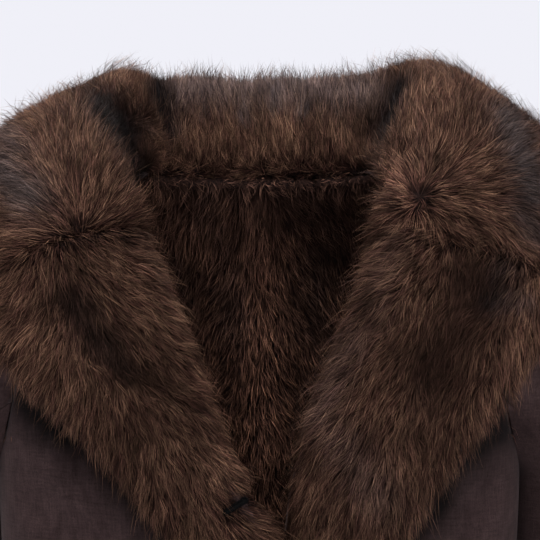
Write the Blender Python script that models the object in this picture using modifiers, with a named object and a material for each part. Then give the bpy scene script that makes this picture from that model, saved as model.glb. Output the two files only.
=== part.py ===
"""A faux suede jacket with a notched fur collar, fur lapels and a fur lining, worn open at the neck.

Metres, +Z up. The wearer faces -Y and has the left arm on +X. The origin is on the centre
plane, level with the back neck seam and above the shoulder seams, where the wearer's
shoulders carry the jacket. "Out" is a distance from the centre plane to either side.
"""

import math
from collections import namedtuple

import bmesh
import bpy
import numpy as np
from mathutils import Vector

COLLECTION = "faux_suede_jacket"

# Cloth
WALL = 0.002  # suede and its backing
PILE = 0.020  # depth of the fur
GAP = 0.0003  # between pieces at a seam, and between the collar's layers
LAYER_GAP = 0.0015  # between a body panel and the fur behind it
SLEEVE_GAP = 0.0008  # between a sleeve and the armhole it is sewn into
STAND_INSET = 0.0032  # the collar stands this far inside the neckline
STAND_LIFT = (0.0030, 0.0008)  # and this far above it, at the gorge and past the shoulder seam
GORGE_GAP = 0.0020  # between the collar and a lapel
ROLL_GAP = 0.0015  # between a front and the cloth that turns back from it
LINING_GAP = 0.0090  # between a lapel's facing and the lining beside it

# Share of the fur's depth where it thins
LINING_SIDE_PILE = 0.60
STAND_FOOT_PILE = 0.80
FACING_PILE = 0.60  # at the edge of the lapel's fur inside the front
EDGE_PILE = (0.95, 0.55)  # beside the outer edge of a collar or lapel, and at the edge
BREAK_PILE = 0.70  # at the lapel's lower end
PRESSED = 0.50  # lost where the fur of the two fronts presses together

# Heights
UNDERARM = -0.250
SHOULDER_TIP = -0.036
GORGE = -0.057  # where the collar meets the lapels
FRONT_TOP = -0.003

# Lapels
ROLL_RADIUS = 0.006  # of the fold where a lapel turns back
FACING = 0.055  # how far the lapel's fur runs on inside the front
MOST_FACING = (0.18, 0.36)  # and at most these shares of the front, at its middle and its end
LAPEL_LIFT = 0.009  # how far the turned-back cloth springs off the front
LAPEL_SPREAD = 0.30  # how much flatter than the chest the lapels lie, at their edge
CROWD_OUT = (0.032, 0.062)  # the two fronts' fur presses together within these distances out
CROWD_Z = (-0.280, -0.240)  # and below these heights
HEM_FACING_ROWS = 1  # rows of bare suede between the linings and the hem

# Sleeves
SEAM_TURN = math.radians(60)  # from the underarm to the seams of the under sleeve
CAP_SPRING = (0.030, 0.170)  # how far the sleeve head runs out, at the underarm and the top
ARM_SPRING = (0.030, 0.190)
CAP_SLOPE = -0.35
BICEP_TURN = 0.45  # share of the sleeve's rows above the first full ring

# Buttons
BUTTON_RADIUS = 0.014
BUTTON_THICKNESS = 0.004
BUTTON_LIFT = 0.0012
BUTTON_RIM = 0.0012  # width of the rounding
BUTTON_HEIGHTS = {"button_upper": -0.455, "button_lower": -0.560}

STEP = 0.001  # used for slopes

Section = namedtuple("Section", "z half_width front_depth back_depth roundness")
BODY = [
    Section(0.012, 0.056, 0.030, 0.048, 2.00),
    Section(0.000, 0.098, 0.048, 0.062, 2.00),
    Section(-0.012, 0.146, 0.066, 0.074, 2.05),
    Section(-0.024, 0.190, 0.081, 0.086, 2.10),
    Section(-0.036, 0.228, 0.092, 0.096, 2.20),
    Section(-0.060, 0.231, 0.106, 0.107, 2.30),
    Section(-0.090, 0.232, 0.119, 0.115, 2.30),
    Section(-0.150, 0.230, 0.132, 0.119, 2.35),
    Section(-0.250, 0.226, 0.138, 0.114, 2.30),
    Section(-0.330, 0.223, 0.134, 0.106, 2.25),
    Section(-0.430, 0.216, 0.127, 0.103, 2.25),
    Section(-0.540, 0.218, 0.130, 0.115, 2.20),
    Section(-0.670, 0.228, 0.135, 0.122, 2.20),
]

Armhole = namedtuple("Armhole", "z front_out back_out")
ARMHOLE = [
    Armhole(-0.036, 0.228, 0.228),
    Armhole(-0.057, 0.214, 0.217),
    Armhole(-0.080, 0.205, 0.210),
    Armhole(-0.110, 0.200, 0.206),
    Armhole(-0.141, 0.199, 0.205),
    Armhole(-0.180, 0.204, 0.208),
    Armhole(-0.222, 0.215, 0.217),
    Armhole(-0.250, 0.226, 0.226),
]

Neckline = namedtuple("Neckline", "z out")
NECKLINE = [
    Neckline(-0.057, 0.115),
    Neckline(-0.046, 0.114),
    Neckline(-0.036, 0.113),
    Neckline(-0.024, 0.111),
    Neckline(-0.012, 0.107),
    Neckline(-0.003, 0.1005),
]

# "roll" is where the front folds back, and the lapel's edge lies lower than its roll.
LapelRow = namedtuple("LapelRow", "z roll edge_out edge_z")
RIGHT_LAPEL = [
    LapelRow(-0.057, 0.115, 0.212, -0.084),
    LapelRow(-0.080, 0.104, 0.232, -0.112),
    LapelRow(-0.110, 0.089, 0.224, -0.148),
    LapelRow(-0.141, 0.075, 0.200, -0.172),
    LapelRow(-0.180, 0.060, 0.164, -0.205),
    LapelRow(-0.222, 0.046, 0.124, -0.240),
    LapelRow(-0.250, 0.036, 0.104, -0.262),
    LapelRow(-0.280, 0.010, 0.084, -0.284),
    LapelRow(-0.310, -0.001, 0.058, -0.312),
    LapelRow(-0.350, -0.005, 0.026, -0.350),
    LapelRow(-0.378, -0.012, 0.010, -0.378),
]
LEFT_LAPEL = [
    LapelRow(-0.057, 0.114, 0.236, -0.084),
    LapelRow(-0.080, 0.107, 0.250, -0.114),
    LapelRow(-0.110, 0.097, 0.242, -0.150),
    LapelRow(-0.141, 0.084, 0.216, -0.178),
    LapelRow(-0.180, 0.068, 0.192, -0.213),
    LapelRow(-0.222, 0.052, 0.163, -0.246),
    LapelRow(-0.250, 0.044, 0.148, -0.267),
    LapelRow(-0.280, 0.038, 0.132, -0.288),
    LapelRow(-0.310, 0.032, 0.112, -0.314),
    LapelRow(-0.350, 0.020, 0.084, -0.350),
    LapelRow(-0.378, 0.010, 0.062, -0.378),
    LapelRow(-0.425, -0.004, 0.028, -0.424),
    LapelRow(-0.455, -0.014, 0.010, -0.455),
]

# Below its lapel each front runs on past the centre, and the right one lies outside.
FrontRow = namedtuple("FrontRow", "z right left")
FRONT_EDGE = [
    FrontRow(-0.425, -0.025, -0.004),
    FrontRow(-0.455, -0.025, -0.014),
    FrontRow(-0.500, -0.025, -0.025),
    FrontRow(-0.600, -0.025, -0.025),
    FrontRow(-0.650, -0.025, -0.025),
]
FRONT_ROWS = [
    -0.650, -0.600, -0.550, -0.500, -0.455, -0.425, -0.378, -0.350, -0.310, -0.280,
    -0.250, -0.222, -0.180, -0.141, -0.110, -0.080, -0.057, -0.046, -0.036, -0.024,
    -0.012, -0.003,
]
BACK_ROWS = [
    -0.650, -0.600, -0.550, -0.500, -0.450, -0.400, -0.350, -0.300, -0.250, -0.222,
    -0.180, -0.141, -0.110, -0.080, -0.057, -0.036, -0.024, -0.012, 0.000,
]
FRONT_COLUMNS = 8
BACK_COLUMNS = 12

Overlap = namedtuple("Overlap", "z outward inward")
OVERLAP = [
    Overlap(-0.232, 0.000, 0.000),
    Overlap(-0.280, 0.012, 0.028),
    Overlap(-0.390, 0.012, 0.028),
    Overlap(-0.470, 0.008, 0.014),
    Overlap(-0.560, 0.003, 0.005),
    Overlap(-0.650, 0.003, 0.005),
]
OVERLAP_REACH = (0.015, 0.075)  # full up to the first distance out, none past the second

# The collar's fold, from the gorge to the centre back. The stand rises from the neckline to
# the roll, whose middle is here, and the fall drops from it to the edge. "seam" is where on
# the neckline: 0 is the gorge, 1 the shoulder seam and 2 the centre back.
Fold = namedtuple(
    "Fold",
    "roll_out roll_y roll_z facing radius edge_out edge_y edge_z seam",
)
RIGHT_COLLAR = [
    Fold(0.121, -0.096, -0.036, 22, 0.008, 0.230, -0.080, -0.062, 0.24),
    Fold(0.131, -0.070, -0.004, 48, 0.011, 0.244, -0.050, -0.038, 0.55),
    Fold(0.131, 0.000, 0.061, 90, 0.012, 0.252, 0.010, -0.006, 1.0),
    Fold(0.100, 0.058, 0.062, 135, 0.012, 0.182, 0.104, -0.028, 1.5),
    Fold(0.000, 0.080, 0.060, 180, 0.011, 0.000, 0.122, -0.042, 2.0),
]
LEFT_COLLAR = [
    Fold(0.121, -0.096, -0.036, 22, 0.008, 0.246, -0.080, -0.058, 0.24),
    Fold(0.136, -0.070, -0.002, 48, 0.013, 0.256, -0.046, -0.032, 0.55),
    Fold(0.156, 0.002, 0.060, 90, 0.024, 0.264, 0.012, 0.002, 1.0),
    Fold(0.110, 0.062, 0.062, 135, 0.016, 0.186, 0.104, -0.026, 1.5),
    Fold(0.000, 0.080, 0.060, 180, 0.011, 0.000, 0.122, -0.042, 2.0),
]
COLLAR_SECTIONS_PER_FOLD = 3
STAND_STEPS = 3
ROLL_STEPS = 4
FALL_STEPS = 5
FALL_BOW = 0.013  # how far the collar's fall bows outward
THROAT_PILE = (0.4, 0.42, 0.5, 0.65, 0.85)  # share of the fur's depth up the stand at the gorge
THROAT_ROWS = 12  # sections from the gorge to where the stand has its full pile
MOST_LEAN = math.radians(70)  # of the stand, away from upright
THROAT_BLEND = 4  # sections over which the stand rises from nothing beside the gorge
GORGE_STAND = (0.05, 0.20)  # the stand at the gorge is this share of the half turn

# Troughs and ridges of the lapels: from one end to the other, as out and z.
Crease = namedtuple("Crease", "out_a z_a out_b z_b width depth")
RIGHT_CREASES = [
    Crease(0.156, -0.106, 0.112, -0.156, 0.014, -0.007),
    Crease(0.112, -0.156, 0.078, -0.178, 0.012, -0.005),
]
LEFT_CREASES = [
    Crease(0.168, -0.104, 0.226, -0.138, 0.014, 0.008),
    Crease(0.150, -0.120, 0.196, -0.160, 0.012, -0.004),
]

Ring = namedtuple("Ring", "share out y z lateral depth lean")
SLEEVE = [
    Ring(0.45, 0.2950, 0.008, -0.275, 0.066, 0.068, 4.0),
    Ring(0.63, 0.2840, 0.000, -0.395, 0.059, 0.062, 2.0),
    Ring(0.81, 0.2810, -0.018, -0.505, 0.052, 0.056, 0.0),
    Ring(1.00, 0.2850, -0.044, -0.617, 0.046, 0.050, 0.0),
]
SLEEVE_ROWS = [0.0, 0.06, 0.14, 0.24, 0.34, 0.45, 0.56, 0.67, 0.78, 0.89, 1.0]
TOP_SLEEVE_COLUMNS = 9
UNDER_SLEEVE_COLUMNS = 5

Finish = namedtuple("Finish", "colour roughness metallic")
SUEDE = Finish((0.040, 0.026, 0.026), 0.90, 0.0)
FUR = Finish((0.048, 0.027, 0.019), 0.85, 0.0)
FUR_LINING = Finish((0.030, 0.015, 0.010), 0.90, 0.0)
HORN = Finish((0.012, 0.009, 0.008), 0.35, 0.0)


def curve(table, name, at, key="z"):
    """A column of a table at any height: a cubic through the rows that never overshoots them."""
    rows = sorted(table, key=lambda row: getattr(row, key))
    x = np.array([getattr(row, key) for row in rows])
    y = np.array([getattr(row, name) for row in rows])
    step = np.diff(x)
    slope = np.diff(y) / step
    tangent = np.concatenate([slope[:1], np.zeros(len(slope) - 1), slope[-1:]])
    for k in range(1, len(slope)):
        if slope[k - 1] * slope[k] > 0:
            tangent[k] = 2 * slope[k - 1] * slope[k] / (slope[k - 1] + slope[k])
    at = np.clip(at, x[0], x[-1])
    i = np.clip(np.searchsorted(x, at) - 1, 0, len(slope) - 1)
    t = (at - x[i]) / step[i]
    rise = y[i] + (y[i + 1] - y[i]) * t * t * (3 - 2 * t)
    ease_out = tangent[i] * step[i] * t * (1 - t) ** 2
    ease_in = tangent[i + 1] * step[i] * t * t * (1 - t)
    return rise + ease_out - ease_in


def smooth(t):
    t = np.clip(t, 0.0, 1.0)
    return t * t * (3 - 2 * t)


def unit(vectors):
    return vectors / np.linalg.norm(vectors, axis=-1, keepdims=True)


def stack(x, y, z):
    return np.stack(np.broadcast_arrays(x, y, z), axis=-1)


def outward(surface, u, v):
    """Unit normals of a surface of two parameters, from its slopes along each."""
    along = surface(u + STEP, v) - surface(u - STEP, v)
    up = surface(u, v + STEP) - surface(u, v - STEP)
    return unit(np.cross(along, up))


# ---- the body of the jacket


def body(angle, z, spread=1.0):
    """The jacket's outer face. Angle 0 is the centre front and a quarter turn the side."""
    angle = np.asarray(angle, float)
    width = curve(BODY, "half_width", z) * spread
    front = curve(BODY, "front_depth", z)
    back = curve(BODY, "back_depth", z)
    power = 2 / curve(BODY, "roundness", z)
    depth = np.where(np.cos(angle) > 0, front, back)
    x = width * np.sign(np.sin(angle)) * np.abs(np.sin(angle)) ** power
    y = -depth * np.sign(np.cos(angle)) * np.abs(np.cos(angle)) ** power
    return stack(x, y, z)


def angle_at(out, z, spread=1.0):
    """The front's angle at a distance out from the centre plane."""
    width = curve(BODY, "half_width", z) * spread
    share = np.clip(np.abs(out) / width, 0, 1) ** (curve(BODY, "roundness", z) / 2)
    return np.sign(out) * np.arcsin(share)


def body_normal(angle, z):
    return outward(body, angle, z)


def side_angle(z, part):
    """Where the front or the back ends at the side: side seam, armhole or shoulder seam."""
    depth = curve(BODY, part + "_depth", z)
    seam = math.acos((GAP / 2 / depth) ** (curve(BODY, "roundness", z) / 2))
    if UNDERARM < z < SHOULDER_TIP:
        seam = min(seam, float(angle_at(curve(ARMHOLE, part + "_out", z), z)))
    return seam


def lap(side, out, z):
    """How far a front is moved along Y near the centre, where one front laps over the other."""
    near, far = OVERLAP_REACH
    reach = smooth((far - out) / (far - near))
    if side < 0:
        return -curve(OVERLAP, "outward", z) * reach
    return curve(OVERLAP, "inward", z) * reach


def front(side, spread=1.0):
    """The outer face of one front, as a function of angle and height, with out for x."""

    def surface(angle, z):
        points = body(angle, z, spread)
        points[..., 1] += lap(side, points[..., 0], z)
        return points

    return surface


def lapel_table(side):
    return RIGHT_LAPEL if side < 0 else LEFT_LAPEL


def front_start(side, z):
    """Where a front's row begins: at the neckline, at the roll or at the front edge."""
    if z > GORGE:
        return float(curve(NECKLINE, "out", z))
    table = lapel_table(side)
    if z >= table[-1].z:
        return float(curve(table, "roll", z))
    return float(curve(FRONT_EDGE, "right" if side < 0 else "left", z))


def front_angles(side, z):
    """A row of a front: the start, half the facing, all the facing, then even turns."""
    end = side_angle(z, "front")
    start = front_start(side, z)
    most = MOST_FACING
    first = float(angle_at(start + ROLL_GAP, z))
    half = min(float(angle_at(start + FACING / 2, z)), first + most[0] * (end - first))
    whole = min(float(angle_at(start + FACING, z)), first + most[1] * (end - first))
    return np.array([first, half, *np.linspace(whole, end, FRONT_COLUMNS - 1)])


# ---- making the solids


def border(index):
    """The indices round the edge of a grid, in order."""
    top, right = index[0, :-1], index[:-1, -1]
    bottom, left = index[-1, :0:-1], index[:0:-1, 0]
    return np.concatenate([top, right, bottom, left])


def make_solid(name, near, far, finish):
    """One closed piece of cloth, lofted through two grids of points: its face and its back."""
    rows, columns = near.shape[:2]
    index = np.arange(rows * columns).reshape(rows, columns)
    corner = index[:-1, :-1].ravel()
    cells = np.stack([corner, corner + 1, corner + columns + 1, corner + columns], axis=1)
    triangles = np.concatenate([cells[:, [0, 1, 2]], cells[:, [0, 2, 3]]])
    edge = border(index)
    after = np.roll(edge, -1)
    back = rows * columns
    rim = [
        np.stack([edge, edge + back, after + back], axis=1),
        np.stack([edge, after + back, after], axis=1),
    ]
    faces = np.concatenate([triangles, triangles[:, ::-1] + back, *rim])
    points = np.concatenate([near.reshape(-1, 3), far.reshape(-1, 3)])
    mesh = bpy.data.meshes.new(name)
    mesh.from_pydata(points.tolist(), [], faces.tolist())
    bm = bmesh.new()
    bm.from_mesh(mesh)
    bmesh.ops.recalc_face_normals(bm, faces=bm.faces)
    bm.to_mesh(mesh)
    bm.free()
    mesh.shade_smooth()
    mesh.set_sharp_from_angle(angle=math.radians(50))
    return add(name, mesh, finish)


def add(name, mesh, finish):
    material = bpy.data.materials.new(name)
    material.use_nodes = True
    shader = material.node_tree.nodes["Principled BSDF"]
    shader.inputs["Base Color"].default_value = (*finish.colour, 1.0)
    shader.inputs["Roughness"].default_value = finish.roughness
    shader.inputs["Metallic"].default_value = finish.metallic
    material.diffuse_color = (*finish.colour, 1.0)
    mesh.materials.append(material)
    piece = bpy.data.objects.new(name, mesh)
    bpy.data.collections[COLLECTION].objects.link(piece)
    return piece


def to_side(side, points):
    """Points with out for x, on the wearer's right (-1) or left (+1)."""
    return points * np.array([side, 1.0, 1.0])


def side_name(side):
    return "right" if side < 0 else "left"


# ---- body pieces


def body_layers(surface, angles, heights, inner, outer):
    """Two grids on a body surface, each moved inward by its own depth."""
    points = surface(angles, heights)
    normals = outward(surface, angles, heights)
    return points - normals * outer, points - normals * inner


def make_back():
    edges = [side_angle(z, "back") for z in BACK_ROWS]
    angles = np.array([np.linspace(math.pi - a, math.pi + a, BACK_COLUMNS + 1) for a in edges])
    heights = np.repeat(np.array(BACK_ROWS)[:, None], BACK_COLUMNS + 1, axis=1)
    make_solid("back_panel", *body_layers(body, angles, heights, WALL, 0.0), SUEDE)
    rows = slice(HEM_FACING_ROWS, None)
    near, far = body_layers(
        body, angles[rows], heights[rows], lining_depth(*heights[rows].shape), WALL + LAYER_GAP
    )
    make_solid("back_lining", near, far, FUR_LINING)


def lining_depth(rows, columns):
    """Pile depth of a lining, which is thinner along its sides, where it would crowd."""
    pile = np.full((rows, columns), PILE)
    pile[:, [0, -1]] *= LINING_SIDE_PILE
    return (WALL + LAYER_GAP + pile)[..., None]


def inset_first(layer):
    """A grid whose first column is moved toward the second one, along the cloth."""
    run = layer[:, 1] - layer[:, 0]
    layer[:, 0] += unit(run) * np.minimum(LINING_GAP, np.linalg.norm(run, axis=1) / 3)[:, None]
    return layer


def make_front(side):
    surface = front(side)
    angles = np.array([front_angles(side, z) for z in FRONT_ROWS])
    heights = np.repeat(np.array(FRONT_ROWS)[:, None], angles.shape[1], axis=1)
    near, far = body_layers(surface, angles, heights, WALL, 0.0)
    name = side_name(side)
    make_solid(name + "_front", to_side(side, near), to_side(side, far), SUEDE)
    rows = slice(HEM_FACING_ROWS, None)
    angles = angles[rows, 2:]
    heights = heights[rows, 2:]
    depth = lining_depth(*angles.shape)
    layers = body_layers(surface, angles, heights, depth, WALL + LAYER_GAP)
    near, far = (inset_first(layer) for layer in layers)
    make_solid(name + "_front_lining", to_side(side, near), to_side(side, far), FUR_LINING)


# ---- lapels


def crease_height(creases, out, z):
    """Height of the troughs and ridges at a point of a lapel."""
    height = 0.0
    for crease in creases:
        start = np.array([crease.out_a, crease.z_a])
        run = np.array([crease.out_b, crease.z_b]) - start
        share = np.clip(((out - start[0]) * run[0] + (z - start[1]) * run[1]) / (run @ run), 0, 1)
        distance = np.hypot(out - start[0] - share * run[0], z - start[1] - share * run[1])
        height = height + crease.depth * np.exp(-((distance / crease.width) ** 2))
    return height


def crowding(out, z):
    """1 where the fur of the two fronts presses together below the neck, 0 elsewhere."""
    near, far = CROWD_OUT
    low, high = CROWD_Z
    return smooth((far - out) / (far - near)) * smooth((high - z) / (high - low))


def lapel_row(side, z):
    """One section of a turned-back front, on the face between suede and fur."""
    table = lapel_table(side)
    creases = RIGHT_CREASES if side < 0 else LEFT_CREASES
    surface = front(side)
    depth = WALL + LAYER_GAP
    angles = front_angles(side, z)
    start = front_start(side, z)
    edge = np.array([curve(table, "edge_out", z), curve(table, "edge_z", z)])
    middle = surface(angle_at(start, z), z)
    normal = outward(surface, angle_at(start, z), z)
    inside = angles[[2, 1]]
    inner = surface(inside, z) - outward(surface, inside, z) * depth
    away = unit(np.array([edge[0] - start, 0.0, edge[1] - z]))
    toward = -unit(away - normal * (away @ normal))
    centre = middle + normal * (ROLL_RADIUS - depth)
    turn = np.linspace(0, math.pi, ROLL_STEPS + 1)[:, None]
    arc = centre + ROLL_RADIUS * (np.sin(turn) * toward - np.cos(turn) * normal)
    share = np.linspace(0, 1, FALL_STEPS + 1)[1:]
    out = start + (edge[0] - start) * share
    heights = z + (edge[1] - z) * share
    spread = 1 + LAPEL_SPREAD * smooth(share * 1.2)
    calm = 1 - crowding(out, heights)
    rest = 2 * ROLL_RADIUS - depth
    lift = rest + calm * LAPEL_LIFT * np.sin(math.pi * share) + crease_height(creases, out, heights)
    base = front(side, spread)
    turns = angle_at(out, heights, spread)
    fall = base(turns, heights) + outward(base, turns, heights) * lift[:, None]
    return np.concatenate([inner, arc, fall])


def seam_direction(side):
    """The direction across the gorge seam, from the lapel toward the collar."""
    row = lapel_row(side, GORGE)
    start = angle_at(front_start(side, GORGE), GORGE)
    across = unit(np.cross(row[-1] - row[2], outward(front(side), start, GORGE)))
    return across * np.sign(across[2])


def in_plane_normals(row, across, guide):
    """Normals of one section that stay in the plane of a seam, on the guide's side."""
    normals = unit(np.cross(np.gradient(row, axis=0), across))
    return normals * np.sign(np.sum(normals * guide, axis=1, keepdims=True))


def grid_normals(points):
    along = np.gradient(points, axis=1)
    down = np.gradient(points, axis=0)
    return unit(np.cross(along, down))


def make_lapel(side):
    rows = [row.z for row in lapel_table(side)]
    face = np.array([lapel_row(side, z) for z in rows])
    face[0] += unit(face[1] - face[0]) * GORGE_GAP
    normals = grid_normals(face)
    if normals[0, -1, 1] > 0:
        normals = -normals
    normals[0] = in_plane_normals(face[0], seam_direction(side), normals[0])
    normals[1] = unit(normals[0] + normals[1])
    pile = np.full(face.shape[:2], PILE)
    pile[:, -2:] *= EDGE_PILE
    pile[:, 0] *= FACING_PILE
    press = crowding(np.abs(face[..., 0]), face[..., 2]) * PRESSED
    covered = np.arange(face.shape[1]) < 2 + ROLL_STEPS // 2
    pile *= 1 - press * (covered if side < 0 else ~covered)
    pile[-1] *= BREAK_PILE
    name = side_name(side) + "_lapel"
    make_solid(name, to_side(side, face), to_side(side, face + normals * pile[..., None]), FUR)
    turned = slice(2, None)
    near = (face - normals * GAP)[:, turned]
    far = (face - normals * (GAP + WALL))[:, turned]
    make_solid(name + "_under", to_side(side, near), to_side(side, far), SUEDE)


# ---- collar


def gorge_section(side):
    """The collar's first section, which lies where the lapel's first one does."""
    z = GORGE
    row = lapel_row(side, z)[2:]
    surface = front(side)
    start = front_start(side, z)
    middle = surface(angle_at(start, z), z)
    normal = outward(surface, angle_at(start, z), z)
    height = normal * (ROLL_RADIUS - WALL - LAYER_GAP)
    toward = unit(row[ROLL_STEPS // 2] - middle - height)
    centre = middle + height + toward * STAND_INSET
    low, high = GORGE_STAND
    stand = np.linspace(low, high, STAND_STEPS + 1)[:-1]
    turn = np.concatenate([stand, np.linspace(high, 1, ROLL_STEPS + 1)])[:, None] * math.pi
    arc = centre + ROLL_RADIUS * (np.sin(turn) * toward - np.cos(turn) * normal)
    return np.concatenate([arc, row[ROLL_STEPS + 1 :]])


def fold_values(fold):
    """A fold's row as one array: roll, facing, radius, edge, and where the stand is sewn on."""
    turn = math.radians(fold.facing)
    return np.array([
        fold.roll_out, fold.roll_y, fold.roll_z,
        math.sin(turn), -math.cos(turn), 0.0,
        fold.radius,
        fold.edge_out, fold.edge_y, fold.edge_z,
        fold.seam,
    ])


def gorge_values(side, section):
    """The gorge section as a fold's array, for the sections that follow it."""
    start = angle_at(front_start(side, GORGE), GORGE)
    normal = outward(front(side), start, GORGE)
    first, last = section[STAND_STEPS], section[STAND_STEPS + ROLL_STEPS]
    return np.array([*(first + last) / 2, *normal, ROLL_RADIUS, *section[-1], 0.0])


def neckline(seam):
    """A point of the neckline: 0 is the gorge, 1 the shoulder seam and 2 the centre back."""
    if seam < 1:
        z = GORGE * (1 - seam)
        if z < FRONT_TOP:
            return float(angle_at(curve(NECKLINE, "out", z), z)), z
        low = float(angle_at(curve(NECKLINE, "out", FRONT_TOP), FRONT_TOP))
        return low + (math.pi / 2 - low) * (1 - z / FRONT_TOP), z
    return math.pi / 2 * seam, 0.0


def fold_section(values, along):
    """One section of the collar: up the stand, round the roll and down the fall."""
    roll, facing, radius = values[0:3], values[3:6], values[6]
    edge, seam = values[7:10], np.clip(values[10], 0, 2)
    facing = unit(facing)
    top = unit(np.cross(facing, along))
    facing = unit(np.cross(along, top))
    place, normal = (function(*neckline(seam)) for function in (body, body_normal))
    run = body(*neckline(min(seam + 0.02, 2))) - body(*neckline(seam - 0.02))
    inward = unit(np.cross(normal, run))
    low, high = STAND_LIFT
    seam = place + normal * (low + (high - low) * smooth(seam)) + inward * STAND_INSET
    rise = unit(roll - seam)
    first = np.clip(math.atan2(rise @ facing, rise @ top), 0.0, MOST_LEAN)
    drop = unit(edge - roll)
    last = math.atan2(drop @ facing, drop @ top)
    turn = np.linspace(first, last, ROLL_STEPS + 1)[:, None]
    arc = roll + radius * (np.sin(turn) * top - np.cos(turn) * facing)
    share = np.linspace(0, 1, STAND_STEPS + 1)[:-1, None]
    stand = seam + (arc[0] - seam) * share
    share = np.linspace(0, 1, FALL_STEPS + 1)[1:, None]
    leaving = unit(np.cross(drop, np.cross(facing, top)))
    if leaving @ facing + leaving @ top < 0:
        leaving = -leaving
    fall = arc[-1] + (edge - arc[-1]) * share + leaving * FALL_BOW * np.sin(math.pi * share)
    return np.concatenate([stand, arc, fall])


def half_collar(side):
    """The sections from the gorge to the centre back, with out for x."""
    gorge = gorge_section(side)
    folds = [fold_values(fold) for fold in (RIGHT_COLLAR if side < 0 else LEFT_COLLAR)]
    values = spline([gorge_values(side, gorge), *folds], COLLAR_SECTIONS_PER_FOLD)
    rolls = values[:, 0:3]
    rolls = np.concatenate([rolls, rolls[-2:-1] * np.array([-1.0, 1.0, 1.0])])
    alongs = [unit(rolls[k + 1] - rolls[k - 1]) for k in range(1, len(values))]
    sections = [gorge] + [fold_section(v, a) for v, a in zip(values[1:], alongs)]
    for k in range(1, THROAT_BLEND):  # the stand starts from nothing beside the gorge
        share = k / THROAT_BLEND
        sections[k] = gorge * (1 - share) + sections[THROAT_BLEND] * share
    return sections


def spline(keys, steps):
    """A smooth run of sections through the key ones."""
    keys = np.array(keys)
    ends = [2 * keys[0] - keys[1], *keys, 2 * keys[-1] - keys[-2]]
    rows = []
    for k in range(1, len(keys)):
        a, b, c, d = ends[k - 1 : k + 3]
        for t in np.arange(steps) / steps:
            rows.append(
                b + 0.5 * t * ((c - a) + t * ((2 * a - 5 * b + 4 * c - d) + t * (3 * (b - c) + d - a)))
            )
    return np.array(rows + [keys[-1]])


def make_collar():
    right = [to_side(-1, section) for section in half_collar(-1)]
    left = half_collar(1)
    face = np.array(right + left[-2::-1])
    normals = grid_normals(face)
    normals[1:-1] = unit(normals[:-2] + 2 * normals[1:-1] + normals[2:])
    if normals[len(face) // 2, -1, 1] < 0:
        normals = -normals
    for end, beside, side in ((0, 1, -1), (-1, -2, 1)):
        across = to_side(side, seam_direction(side))
        normals[end] = in_plane_normals(face[end], across, normals[end])
        normals[beside] = unit(normals[end] + normals[beside])
    pile = np.full(face.shape[:2], PILE)
    pile[:, -2:] *= EDGE_PILE
    pile[:, 0] *= STAND_FOOT_PILE
    row = np.arange(len(face))
    from_gorge = np.minimum(row, row[::-1])
    open_share = smooth(from_gorge / THROAT_ROWS)[:, None]
    thin = np.array(THROAT_PILE)[None, :]
    pile[:, : len(THROAT_PILE)] *= thin + (1 - thin) * open_share
    make_solid("collar", face, face + normals * pile[..., None], FUR)
    make_solid("under_collar", face - normals * GAP, face - normals * (GAP + WALL), SUEDE)


# ---- sleeves


def armhole(turn):
    """The armhole, from the underarm (0) up the front, over the shoulder and down the back."""
    share = (1 - np.cos(turn)) / 2
    z = UNDERARM + (SHOULDER_TIP - UNDERARM) * share
    ahead = np.sin(turn) >= 0
    out = np.where(ahead, curve(ARMHOLE, "front_out", z), curve(ARMHOLE, "back_out", z))
    angle = angle_at(out, z)
    points = body(np.where(ahead, angle, math.pi - angle), z)
    points[..., 0] += SLEEVE_GAP
    return points


def sleeve_ring(share, turn):
    lean = np.radians(curve(SLEEVE, "lean", share, "share"))
    lateral = -np.cos(turn) * curve(SLEEVE, "lateral", share, "share")
    depth = -np.sin(turn) * curve(SLEEVE, "depth", share, "share")
    x = curve(SLEEVE, "out", share, "share") + lateral * np.cos(lean)
    y = curve(SLEEVE, "y", share, "share") + depth
    z = curve(SLEEVE, "z", share, "share") + lateral * np.sin(lean)
    return stack(x, y, z)


def sleeve(share, turn):
    """The sleeve's outer face, from the armhole (share 0) to the cuff (share 1)."""
    share, turn = np.broadcast_arrays(np.asarray(share, float), np.asarray(turn, float))
    t = (share / BICEP_TURN)[..., None]
    high = ((1 - np.cos(turn)) / 2)[..., None]
    leave = np.array([1.0, 0.0, CAP_SLOPE]) * (CAP_SPRING[0] + (CAP_SPRING[1] - CAP_SPRING[0]) * high)
    lean = math.radians(SLEEVE[0].lean)
    arrive = np.array([math.sin(lean), 0.0, -math.cos(lean)])
    arrive = arrive * (ARM_SPRING[0] + (ARM_SPRING[1] - ARM_SPRING[0]) * high)
    start, end = armhole(turn), sleeve_ring(BICEP_TURN, turn)
    head = (
        start * (2 * t**3 - 3 * t**2 + 1)
        + leave * (t**3 - 2 * t**2 + t)
        + end * (3 * t**2 - 2 * t**3)
        + arrive * (t**3 - t**2)
    )
    return np.where(t < 1, head, sleeve_ring(np.maximum(share, BICEP_TURN), turn))


def make_sleeve(side):
    seam_gap = GAP / 2 / SLEEVE[-1].lateral
    halves = {
        "top": (SEAM_TURN + seam_gap, 2 * math.pi - SEAM_TURN - seam_gap, TOP_SLEEVE_COLUMNS),
        "under": (-SEAM_TURN + seam_gap, SEAM_TURN - seam_gap, UNDER_SLEEVE_COLUMNS),
    }
    for half, (first, last, columns) in halves.items():
        turns = np.linspace(first, last, columns + 1)[None, :].repeat(len(SLEEVE_ROWS), axis=0)
        shares = np.array(SLEEVE_ROWS)[:, None].repeat(columns + 1, axis=1)
        near = sleeve(shares, turns)
        far = near - outward(sleeve, shares, turns) * WALL
        name = f"{side_name(side)}_sleeve_{half}"
        make_solid(name, to_side(side, near), to_side(side, far), SUEDE)


# ---- buttons


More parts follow.
